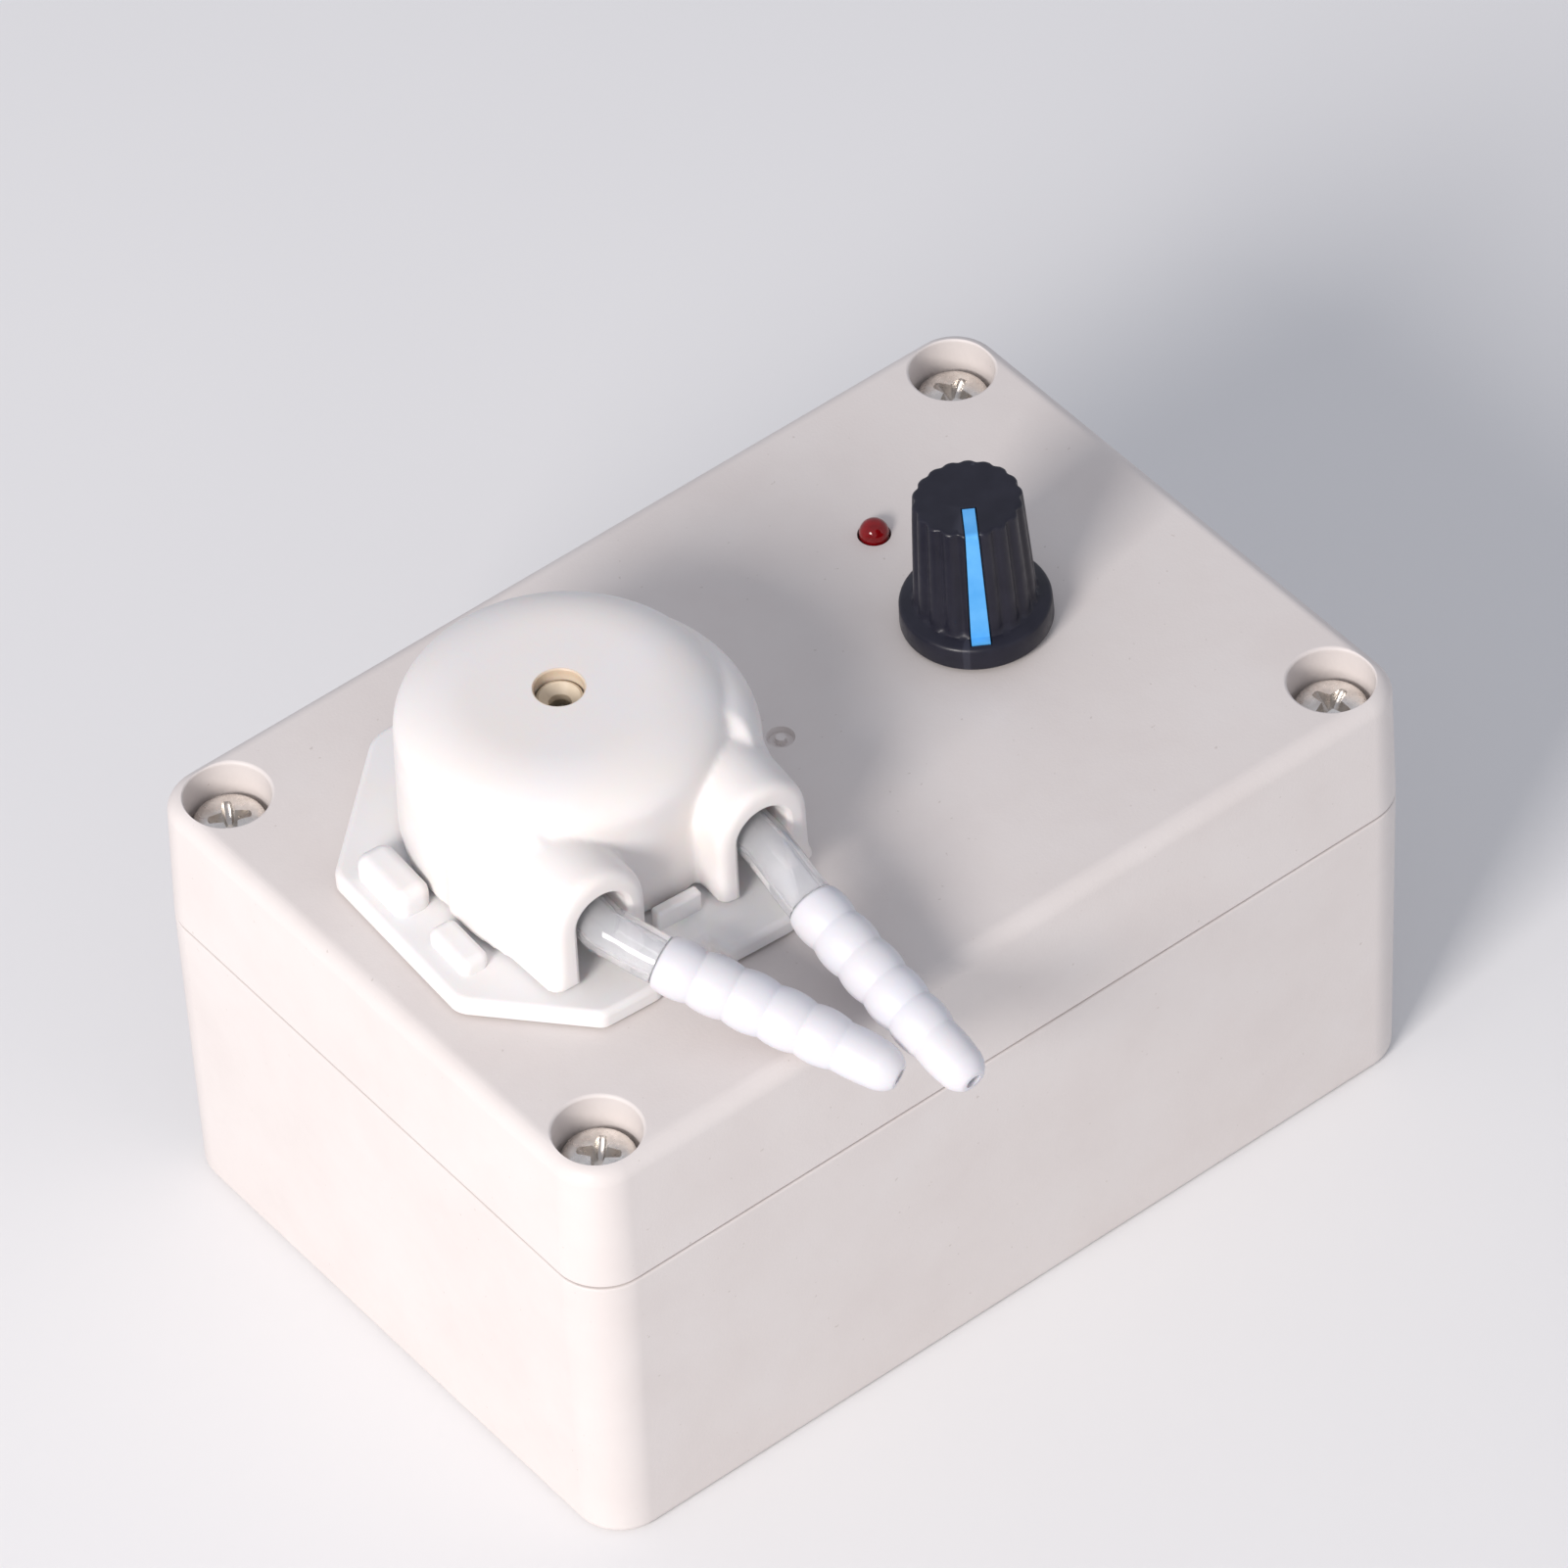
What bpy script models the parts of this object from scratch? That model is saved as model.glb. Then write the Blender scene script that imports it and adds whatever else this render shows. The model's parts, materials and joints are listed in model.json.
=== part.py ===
"""Bench-top peristaltic pump in a plastic instrument box.

Frame: X runs along the long side of the box (pump head at -X, knob at +X), the two
tubes leave towards -Y, Z is up and the origin is the bottom centre of the box.
All lengths are metres.  Pieces that touch in the real pump keep a gap of about
0.3 mm here, so that no two solids overlap.
"""
import math

import bmesh
import bpy
from mathutils import Matrix, Vector

for old_object in list(bpy.data.objects):
    bpy.data.objects.remove(old_object, do_unlink=True)

MM = 0.001
GAP = 0.3 * MM

# ---- instrument box: a stock 100 x 68 x 50 mm enclosure ---------------------
BOX_X = 100.0 * MM
BOX_Y = 68.0 * MM
BOX_Z = 50.0 * MM
SEAM_Z = 35.0 * MM
BOX_CORNER = 5.2 * MM
BOX_WALL = 2.2 * MM
BASE_DRAFT = math.tan(math.radians(0.5))
LID_DRAFT = math.tan(math.radians(1.5))
LID_EDGE = 1.8 * MM
FLOOR_Z = 2.6 * MM
ROOF_Z = 47.5 * MM
SCREW_X = 44.1 * MM
SCREW_Y = 28.2 * MM
RECESS_R = 4.35 * MM
RECESS_SEAT_Z = 44.6 * MM

# ---- pump head --------------------------------------------------------------
HEAD_X = -22.4 * MM
HEAD_Y = 3.7 * MM
HEAD_TURN = math.radians(-3.5)
PLATE_Z0 = BOX_Z + GAP
PLATE_Z1 = 52.3 * MM
CAP_Z0 = PLATE_Z1 + GAP
CAP_TOP = 68.6 * MM
DOME_R = 15.65 * MM
DOME_FOOT_R = 15.9 * MM
BULGE_R = 17.1 * MM
BULGE_X = 0.7 * MM
BULGE_Y = -1.6 * MM
BULGE_TOP = 66.0 * MM
BULGE_EDGE = 4.0 * MM
BORE_R = 14.3 * MM
BORE_TOP = 66.9 * MM
CAP_HOLE_R = 2.5 * MM
PORT_X = 9.0 * MM
PORT_FRONT = -19.5 * MM
PORT_SLOT_R = 2.75 * MM
PORT_ARCH_Z = 59.6 * MM
PORT_TOP = 65.0 * MM
TUBE_Z = 58.3 * MM

# ---- rollers and drive ------------------------------------------------------
ROLLER_R = 4.8 * MM
ROLLER_ORBIT = 7.2 * MM
ROLLER_Z0 = 54.5 * MM
ROLLER_Z1 = 61.9 * MM
PIN_R = 1.0 * MM
CAGE_R = 11.3 * MM
POST_ORBIT = 9.6 * MM
SHAFT_R = 1.15 * MM
SPINDLE_R = 2.1 * MM
MOTOR_R = 13.85 * MM
MOTOR_Z0 = 11.5 * MM
MOTOR_Z1 = 47.1 * MM

# ---- tube and hose connectors -----------------------------------------------
TUBE_R = 2.4 * MM
TUBE_WALL = 0.75 * MM
TRACK_R = 13.1 * MM
FLAT_HALF = 0.88 * MM
FLAT_TALL = 3.2 * MM

# ---- knob, potentiometer, lamp ----------------------------------------------
KNOB_X = 24.0 * MM
KNOB_Y = 0.0
KNOB_TOP = 65.6 * MM
SKIRT_TOP = 53.3 * MM
SKIRT_R = 7.4 * MM
KNOB_TOP_R = 5.3 * MM
KNOB_FOOT_R = 5.95 * MM
FLUTES = 18
POINTER_ANGLE = math.radians(-124.5)
LAMP_X = 23.9 * MM
LAMP_Y = 15.4 * MM
LAMP_R = 1.45 * MM

# ---- circuit board and power inlet ------------------------------------------
BOARD_Z0 = 35.0 * MM
BOARD_Z1 = 36.6 * MM
JACK_X = 25.0 * MM
JACK_Z = 17.5 * MM
JACK_R = 3.9 * MM

BOX_PLACE = Matrix.Identity(4)
HEAD_PLACE = Matrix.Translation((HEAD_X, HEAD_Y, 0.0)) @ Matrix.Rotation(HEAD_TURN, 4, "Z")
KNOB_PLACE = Matrix.Translation((KNOB_X, KNOB_Y, 0.0))


# ---- helpers ----------------------------------------------------------------
def material(name, colour, roughness, metallic=0.0):
    """Make one Principled material."""
    made = bpy.data.materials.new(name)
    made.use_nodes = True
    shader = made.node_tree.nodes["Principled BSDF"]
    shader.inputs["Base Color"].default_value = (*colour, 1.0)
    shader.inputs["Roughness"].default_value = roughness
    shader.inputs["Metallic"].default_value = metallic
    return made


def finish(name, mesh_source, look, place=BOX_PLACE, smooth_angle=None):
    """Turn a bmesh into a named, placed object with its own material."""
    bmesh.ops.remove_doubles(mesh_source, verts=mesh_source.verts, dist=1e-7)
    bmesh.ops.recalc_face_normals(mesh_source, faces=mesh_source.faces)
    mesh = bpy.data.meshes.new(name)
    mesh_source.to_mesh(mesh)
    mesh_source.free()
    made = bpy.data.objects.new(name, mesh)
    bpy.context.collection.objects.link(made)
    made.matrix_world = place
    if look is not None:
        mesh.materials.append(look)
    if smooth_angle is not None:
        mesh.shade_smooth()
        mesh.set_sharp_from_angle(angle=math.radians(smooth_angle))
    return made


def add_loft(target, loops, ring=False):
    """Skin a chain of equally long loops; a ring joins the last loop to the first."""
    rows = [[target.verts.new(point) for point in loop] for loop in loops]
    count = len(rows[0])
    pairs = list(zip(rows, rows[1:]))
    if ring:
        pairs.append((rows[-1], rows[0]))
    for lower, upper in pairs:
        for i in range(count):
            j = (i + 1) % count
            target.faces.new((lower[i], lower[j], upper[j], upper[i]))
    if not ring:
        target.faces.new(list(reversed(rows[0])))
        target.faces.new(rows[-1])


def loft(name, loops, look, place=BOX_PLACE, smooth_angle=None, ring=False):
    """Make one object from a chain of loops."""
    mesh_source = bmesh.new()
    add_loft(mesh_source, loops, ring)
    return finish(name, mesh_source, look, place, smooth_angle)


def circle(radius, z, count, x=0.0, y=0.0, start=0.0):
    """Points of a level circle."""
    step = 2.0 * math.pi / count
    return [Vector((x + radius * math.cos(start + i * step), y + radius * math.sin(start + i * step), z))
            for i in range(count)]


def turned(profile, count, x=0.0, y=0.0, start=0.0):
    """Level circles for a list of (radius, height) pairs."""
    return [circle(radius, z, count, x, y, start) for radius, z in profile]


def rounded_rectangle(half_x, half_y, radius, z, corner_steps=4):
    """Points of a level rectangle with round corners, counter-clockwise."""
    points = []
    for quarter in range(4):
        sign_x = 1.0 if quarter in (0, 3) else -1.0
        sign_y = 1.0 if quarter in (0, 1) else -1.0
        for step in range(corner_steps + 1):
            angle = math.pi / 2.0 * (quarter + step / corner_steps)
            x = sign_x * (half_x - radius) + radius * math.cos(angle)
            y = sign_y * (half_y - radius) + radius * math.sin(angle)
            points.append(Vector((x, y, z)))
    return points


def box_loop(inset, z):
    """The outline of the box, moved inwards by an inset."""
    return rounded_rectangle(BOX_X / 2 - inset, BOX_Y / 2 - inset, BOX_CORNER - inset, z)


def add_block(target, centre, size):
    """Add a closed rectangular block."""
    matrix = Matrix.Translation(centre) @ Matrix.Diagonal((*size, 1.0))
    bmesh.ops.create_cube(target, size=1.0, matrix=matrix)


def block(name, centre, size, look, place=BOX_PLACE, bevel=0.0):
    """A block, optionally with bevelled edges."""
    mesh_source = bmesh.new()
    add_block(mesh_source, centre, size)
    made = finish(name, mesh_source, look, place)
    if bevel > 0.0:
        soften(made, bevel, 2)
    return made


def soften(target, width, steps, angle=40.0):
    """Round the sharp edges with a Bevel modifier."""
    bevel = target.modifiers.new("edge rounding", "BEVEL")
    bevel.width = width
    bevel.segments = steps
    bevel.limit_method = "ANGLE"
    bevel.angle_limit = math.radians(angle)


def combine(target, tool, operation):
    """Apply a tool solid to a target with an exact Boolean."""
    tool.hide_render = True
    tool.display_type = "WIRE"
    change = target.modifiers.new(operation.lower(), "BOOLEAN")
    change.operation = operation
    change.solver = "EXACT"
    change.object = tool


def cut(target, tool):
    """Remove the tool from the target."""
    combine(target, tool, "DIFFERENCE")


def join(target, tool):
    """Add the tool to the target."""
    combine(target, tool, "UNION")


def rod(name, radius, z0, z1, count=24, x=0.0, y=0.0, place=BOX_PLACE, look=None):
    """A plain upright rod, mostly used as a cutting tool."""
    return loft(name, turned([(radius, z0), (radius, z1)], count, x, y), look, place, 40.0)


def along_y(points):
    """Turn a +Z part onto the +Y direction (z becomes y)."""
    return [Vector((p.x, p.z, -p.y)) for p in points]


def swept(path, sections):
    """Place flat (side, up) sections across a path of points that never runs upright."""
    loops = []
    last = len(path) - 1
    for i, (point, section) in enumerate(zip(path, sections)):
        ahead = path[min(i + 1, last)] - path[max(i - 1, 0)]
        side = Vector((ahead.y, -ahead.x, 0.0)).normalized()
        up = side.cross(ahead).normalized()
        loops.append([point + side * s + up * u for s, u in section])
    return loops


def ellipse(half_side, half_up, count):
    """Flat section with the given half axes."""
    return [(half_side * math.cos(2 * math.pi * i / count), half_up * math.sin(2 * math.pi * i / count))
            for i in range(count)]


def smooth_path(knots, steps):
    """Catmull-Rom curve through the knots."""
    ends = [knots[0] * 2 - knots[1]] + list(knots) + [knots[-1] * 2 - knots[-2]]
    points = []
    for i in range(1, len(ends) - 2):
        a, b, c, d = ends[i - 1], ends[i], ends[i + 1], ends[i + 2]
        for step in range(steps):
            t = step / steps
            points.append(0.5 * ((2 * b) + (c - a) * t + (2 * a - 5 * b + 4 * c - d) * t * t
                                 + (3 * b - a - 3 * c + d) * t ** 3))
    points.append(Vector(knots[-1]))
    return points


# ---- looks ------------------------------------------------------------------
BOX_PLASTIC = material("box_abs", (0.74, 0.71, 0.68), 0.5)
LID_PLASTIC = material("lid_abs", (0.74, 0.71, 0.68), 0.5)
GASKET_RUBBER = material("gasket_rubber", (0.03, 0.03, 0.03), 0.8)
SCREW_STEEL = material("screw_steel", (0.6, 0.58, 0.55), 0.3, 1.0)
PLATE_PLASTIC = material("head_plate_plastic", (0.86, 0.86, 0.87), 0.42)
CAP_PLASTIC = material("head_cap_plastic", (0.88, 0.88, 0.89), 0.4)
CAGE_PLASTIC = material("cage_plastic", (0.78, 0.7, 0.56), 0.45)
UPPER_CAGE_PLASTIC = material("upper_cage_plastic", (0.78, 0.7, 0.56), 0.45)
ROLLER_PLASTIC = material("roller_plastic", (0.85, 0.84, 0.8), 0.35)
PIN_STEEL = material("pin_steel", (0.6, 0.6, 0.6), 0.25, 1.0)
SPINDLE_PLASTIC = material("spindle_plastic", (0.12, 0.12, 0.12), 0.6)
SHAFT_STEEL = material("shaft_steel", (0.6, 0.6, 0.6), 0.2, 1.0)
MOTOR_STEEL = material("motor_steel", (0.62, 0.62, 0.6), 0.3, 1.0)
MOTOR_PLASTIC = material("motor_end_plastic", (0.05, 0.05, 0.05), 0.5)
MOTOR_TAB_BRASS = material("motor_tab_brass", (0.7, 0.55, 0.25), 0.3, 1.0)
MOUNT_SCREW_STEEL = material("mount_screw_steel", (0.6, 0.6, 0.58), 0.3, 1.0)
TUBE_SILICONE = material("tube_silicone", (0.82, 0.83, 0.85), 0.25)
LEFT_CONNECTOR_PLASTIC = material("left_connector_plastic", (0.88, 0.88, 0.9), 0.35)
RIGHT_CONNECTOR_PLASTIC = material("right_connector_plastic", (0.88, 0.88, 0.9), 0.35)
KNOB_PLASTIC = material("knob_plastic", (0.012, 0.013, 0.02), 0.2)
POINTER_PLASTIC = material("pointer_plastic", (0.11, 0.45, 0.85), 0.35)
POT_STEEL = material("pot_steel", (0.55, 0.55, 0.55), 0.35, 1.0)
POT_SHAFT_ALUMINIUM = material("pot_shaft_aluminium", (0.75, 0.75, 0.76), 0.3, 1.0)
POT_NUT_STEEL = material("pot_nut_steel", (0.6, 0.6, 0.6), 0.3, 1.0)
POT_WASHER_STEEL = material("pot_washer_steel", (0.55, 0.55, 0.56), 0.35, 1.0)
POT_PIN_STEEL = material("pot_pin_steel", (0.65, 0.65, 0.62), 0.3, 1.0)
LAMP_PLASTIC = material("lamp_plastic", (0.3, 0.004, 0.006), 0.12)
LAMP_LEAD_STEEL = material("lamp_lead_steel", (0.65, 0.65, 0.62), 0.3, 1.0)
BOARD_LAMINATE = material("board_laminate", (0.02, 0.16, 0.06), 0.4)
CAPACITOR_SLEEVE = material("capacitor_sleeve", (0.02, 0.02, 0.06), 0.35)
TRANSISTOR_PLASTIC = material("transistor_plastic", (0.02, 0.02, 0.02), 0.5)
TRANSISTOR_TAB = material("transistor_tab_steel", (0.6, 0.6, 0.6), 0.35, 1.0)
TERMINAL_PLASTIC = material("terminal_plastic", (0.04, 0.22, 0.08), 0.45)
TERMINAL_STEEL = material("terminal_screw_steel", (0.6, 0.6, 0.58), 0.3, 1.0)
JACK_PLASTIC = material("jack_plastic", (0.02, 0.02, 0.02), 0.45)
JACK_PIN_BRASS = material("jack_pin_brass", (0.75, 0.6, 0.3), 0.25, 1.0)
JACK_NUT_BRASS = material("jack_nut_brass", (0.7, 0.68, 0.62), 0.3, 1.0)
WIRE_RED = material("wire_red", (0.5, 0.02, 0.02), 0.45)
WIRE_BLACK = material("wire_black", (0.02, 0.02, 0.02), 0.45)
MOTOR_WIRE_RED = material("motor_wire_red", (0.5, 0.02, 0.02), 0.45)
MOTOR_WIRE_BLACK = material("motor_wire_black", (0.02, 0.02, 0.02), 0.45)


# ---- instrument box ---------------------------------------------------------
def make_case_base():
    """Lower half of the box: drafted walls, a gasket rebate, four screw posts, jack hole."""
    foot = BASE_DRAFT * SEAM_Z
    rim = SEAM_Z - 0.15 * MM
    loops = [box_loop(foot + 1.0 * MM, 0.0)]
    for step in (45, 90):
        angle = math.radians(step)
        loops.append(box_loop(foot + 1.0 * MM * (1 - math.sin(angle)), 1.0 * MM * (1 - math.cos(angle))))
    loops.append(box_loop(0.0, rim - 0.25 * MM))
    loops.append(box_loop(0.2 * MM, rim))
    loops.append(box_loop(1.1 * MM, rim))
    loops.append(box_loop(1.1 * MM, rim - 0.9 * MM))
    loops.append(box_loop(BOX_WALL, rim - 0.9 * MM))
    loops.append(box_loop(BOX_WALL + 0.3 * MM, FLOOR_Z))
    base = loft("case_base", loops, BOX_PLASTIC, smooth_angle=35.0)
    for i, (sign_x, sign_y) in enumerate(((1, 1), (-1, 1), (-1, -1), (1, -1))):
        x = sign_x * SCREW_X
        y = sign_y * SCREW_Y
        join(base, rod(f"tool_post_{i}", 4.2 * MM, FLOOR_Z - 0.6 * MM, rim - 1.0 * MM, 18, x, y))
    for i, (sign_x, sign_y) in enumerate(((1, 1), (-1, 1), (-1, -1), (1, -1))):
        x = sign_x * SCREW_X
        y = sign_y * SCREW_Y
        cut(base, rod(f"tool_post_bore_{i}", 2.25 * MM, 22.0 * MM, SEAM_Z + 2 * MM, 14, x, y))
    hole = [along_y(loop) for loop in turned([(JACK_R + GAP, 26 * MM), (JACK_R + GAP, 40 * MM)], 24)]
    cut(base, loft("tool_jack_hole", hole, None, Matrix.Translation((JACK_X, 0.0, JACK_Z))))
    return base


def make_case_lid():
    """Upper half of the box with four sunk screw recesses and the holes for the controls."""
    rim = SEAM_Z + 0.15 * MM
    loops = [box_loop(BOX_WALL + 0.3 * MM, ROOF_Z), box_loop(BOX_WALL, rim), box_loop(0.2 * MM, rim)]
    loops.append(box_loop(0.0, rim + 0.25 * MM))
    shoulder = BOX_Z - LID_EDGE
    shrink = LID_DRAFT * (shoulder - rim)
    for step in range(0, 5):
        angle = math.radians(22.5 * step)
        inset = shrink + LID_EDGE * (1 - math.cos(angle))
        loops.append(box_loop(inset, shoulder + LID_EDGE * math.sin(angle)))
    lid = loft("case_lid", loops, LID_PLASTIC, smooth_angle=35.0)
    corners = ((1, 1), (-1, 1), (-1, -1), (1, -1))
    for i, (sign_x, sign_y) in enumerate(corners):
        x = sign_x * SCREW_X
        y = sign_y * SCREW_Y
        join(lid, rod(f"tool_boss_{i}", 5.3 * MM, rim + 0.3 * MM, ROOF_Z + 0.6 * MM, 20, x, y))
    for i, (sign_x, sign_y) in enumerate(corners):
        x = sign_x * SCREW_X
        y = sign_y * SCREW_Y
        profile = [(2.25 * MM, rim - 2 * MM), (2.25 * MM, RECESS_SEAT_Z),
                   (RECESS_R - 0.08 * MM, RECESS_SEAT_Z)]
        profile += [(RECESS_R, BOX_Z - 0.35 * MM), (RECESS_R + 0.7 * MM, BOX_Z + 0.35 * MM)]
        cut(lid, loft(f"tool_recess_{i}", turned(profile, 28, x, y), None))
    cut(lid, rod("tool_motor_hole", 3.6 * MM, ROOF_Z - 2 * MM, BOX_Z + 2 * MM, 24, place=HEAD_PLACE))
    for i, sign in enumerate((1, -1)):
        cut(lid, rod(f"tool_motor_screw_hole_{i}", 1.6 * MM, ROOF_Z - 2 * MM, BOX_Z + 2 * MM, 12,
                     x=sign * 8.0 * MM, place=HEAD_PLACE))
    cut(lid, rod("tool_pot_hole", 3.8 * MM, ROOF_Z - 2 * MM, BOX_Z + 2 * MM, 24, KNOB_X, KNOB_Y))
    cut(lid, rod("tool_lamp_hole", LAMP_R + 0.2 * MM, ROOF_Z - 2 * MM, BOX_Z + 2 * MM, 20, LAMP_X, LAMP_Y))
    dimple = turned([(0.35 * MM, BOX_Z - 0.04 * MM), (0.6 * MM, BOX_Z - 0.3 * MM),
                     (1.0 * MM, BOX_Z - 0.3 * MM),
                     (1.3 * MM, BOX_Z + 0.1 * MM), (0.35 * MM, BOX_Z + 0.1 * MM)], 14)
    cut(lid, loft("tool_gate_dimple", dimple, None, ring=True))
    return lid


def make_gasket():
    """Rubber cord lying in the rebate between the two halves."""
    bottom = SEAM_Z - 0.75 * MM
    top = SEAM_Z - 0.15 * MM
    loops = [box_loop(1.4 * MM, bottom), box_loop(2.0 * MM, bottom), box_loop(2.0 * MM, top),
             box_loop(1.4 * MM, top)]
    return loft("lid_gasket", loops, GASKET_RUBBER, ring=True)


def machine_screw(name, place, z_seat, head_r, head_h, shank_r, shank_end, look):
    """Pan-head screw with a cross recess."""
    profile = [(shank_r, shank_end), (shank_r, z_seat)]
    profile += [(head_r, z_seat), (head_r, z_seat + 0.5 * head_h), (head_r * 0.88, z_seat + 0.86 * head_h)]
    loops = turned(profile, 24)
    top = z_seat + head_h
    arms = []
    floor = []
    for i in range(24):
        angle = 2 * math.pi * i / 24
        on_arm = i % 6 in (0, 1, 5)
        reach = 0.56 if on_arm else 0.24
        if i % 6 in (1, 5):
            angle = 2 * math.pi * (i + (0.45 if i % 6 == 5 else -0.45)) / 24
        arms.append(Vector((head_r * reach * math.cos(angle), head_r * reach * math.sin(angle), top)))
        floor.append(Vector((head_r * reach * 0.55 * math.cos(angle), head_r * reach * 0.55 * math.sin(angle),
                             top - head_h * 0.6)))
    return loft(name, loops + [arms, floor], look, place, 30.0)


def make_lid_screws():
    """Four screws that hold the lid."""
    turns = (0.35, 1.1, 0.75, 0.2)
    corners = ((1, 1), (-1, 1), (-1, -1), (1, -1))
    for i, (turn, (sign_x, sign_y)) in enumerate(zip(turns, corners)):
        place = Matrix.Translation((sign_x * SCREW_X, sign_y * SCREW_Y, 0.0)) @ Matrix.Rotation(turn, 4, "Z")
        machine_screw(f"lid_screw_{i + 1}", place, RECESS_SEAT_Z + GAP, 3.6 * MM, 2.2 * MM, 1.95 * MM,
                      24.0 * MM,
                      SCREW_STEEL)


# ---- pump head --------------------------------------------------------------
def plate_outline(inset, z):
    """Foot plate of the head: clipped at the back, broad on the left, close to the cap on the right."""
    front = -23.6 * MM
    side = 22.0 * MM
    corners = [(18.6 * MM, 4.0 * MM, 3.0 * MM), (9.0 * MM, 19.6 * MM, 4.0 * MM),
               (-9.0 * MM, 19.6 * MM, 4.0 * MM),
               (-side, 6.6 * MM, 2.5 * MM), (-side, -13.8 * MM, 2.5 * MM), (-12.2 * MM, front, 1.5 * MM),
               (-5.6 * MM, front, 1.5 * MM),
               (-4.4 * MM, front + 2.3 * MM, 1.5 * MM), (0.9 * MM, front + 2.3 * MM, 0.8 * MM),
               (1.5 * MM, front - 0.4 * MM, 0.8 * MM), (9.6 * MM, front - 0.4 * MM, 2.6 * MM),
               (13.8 * MM, -17.0 * MM, 2.0 * MM), (17.2 * MM, -7.0 * MM, 3.0 * MM)]
    return round_polygon(corners, inset, z, 3)


def round_polygon(corners, inset, z, steps):
    """Polygon whose corners carry their own radius; the inset moves every side inwards."""
    count = len(corners)
    flat = [Vector((x, y, 0.0)) for x, y, _ in corners]
    moved = []
    for i in range(count):
        before = (flat[i] - flat[i - 1]).normalized()
        after = (flat[(i + 1) % count] - flat[i]).normalized()
        normal_before = Vector((-before.y, before.x, 0.0))
        normal_after = Vector((-after.y, after.x, 0.0))
        half = normal_before + normal_after
        moved.append(flat[i] + half * (inset / max(0.3, half.dot(normal_before))))
    points = []
    for i in range(count):
        before = (moved[i] - moved[i - 1]).normalized()
        after = (moved[(i + 1) % count] - moved[i]).normalized()
        turn = before.angle(after)
        cut_back = corners[i][2] * math.tan(turn / 2.0)
        first = moved[i] - before * cut_back
        last = moved[i] + after * cut_back
        for step in range(steps + 1):
            t = step / steps
            bend = (1 - t) ** 2 * first + 2 * t * (1 - t) * moved[i] + t ** 2 * last
            points.append(Vector((bend.x, bend.y, z)))
    return points


def make_head_plate():
    """Foot plate with the hook and lug that hold the cap on the left, and the front latch tongue."""
    loops = [plate_outline(0.15 * MM, PLATE_Z0), plate_outline(0.0, PLATE_Z0 + 0.2 * MM),
             plate_outline(0.0, PLATE_Z1 - 0.7 * MM), plate_outline(0.25 * MM, PLATE_Z1 - 0.2 * MM),
             plate_outline(0.7 * MM, PLATE_Z1)]
    plate = loft("head_plate", loops, PLATE_PLASTIC, HEAD_PLACE, 35.0)
    join(plate, block("tool_hook", (-18.65 * MM, 1.4 * MM, 53.2 * MM), (3.9 * MM, 7.8 * MM, 3.8 * MM),
                      None, HEAD_PLACE, 1.2 * MM))
    join(plate, block("tool_lug", (-18.4 * MM, -9.0 * MM, 52.7 * MM), (3.0 * MM, 6.2 * MM, 2.6 * MM),
                      None, HEAD_PLACE, 0.8 * MM))
    join(plate, block("tool_latch", (0.3 * MM, -17.4 * MM, 53.0 * MM), (5.0 * MM, 1.3 * MM, 3.0 * MM),
                      None, HEAD_PLACE, 0.25 * MM))
    cut(plate, rod("tool_plate_bore", 3.6 * MM, PLATE_Z0 - 2 * MM, PLATE_Z1 + 2 * MM, 24, place=HEAD_PLACE))
    for i, sign in enumerate((1, -1)):
        profile = [(1.6 * MM, PLATE_Z0 - 2 * MM), (1.6 * MM, 50.9 * MM), (2.6 * MM, 50.9 * MM),
                   (2.6 * MM, PLATE_Z1 + 2 * MM)]
        cut(plate, loft(f"tool_plate_screw_{i}", turned(profile, 16, x=sign * 8.0 * MM), None, HEAD_PLACE))
    return plate


def port_section(x_in, x_out, z_top, y, z_bottom, foot=0.0, arch_steps=12):
    """Upright arch section across the Y direction, its outer foot spread sideways."""
    middle = (x_in + x_out) / 2.0
    half = (x_out - x_in) / 2.0
    rise = PORT_TOP - PORT_ARCH_Z
    spring = z_top - rise
    points = [Vector((x_out + foot, y, z_bottom)), Vector((x_out + 0.3 * foot, y, z_bottom + 1.8 * MM))]
    for step in range(arch_steps + 1):
        angle = math.pi * step / arch_steps
        points.append(Vector((middle + half * math.cos(angle), y, spring + rise * math.sin(angle))))
    points.append(Vector((x_in, y, z_bottom)))
    return points


def mirrored(loops):
    """Mirror a chain of loops in X."""
    return [[Vector((-p.x, p.y, p.z)) for p in reversed(loop)] for loop in loops]


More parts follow.
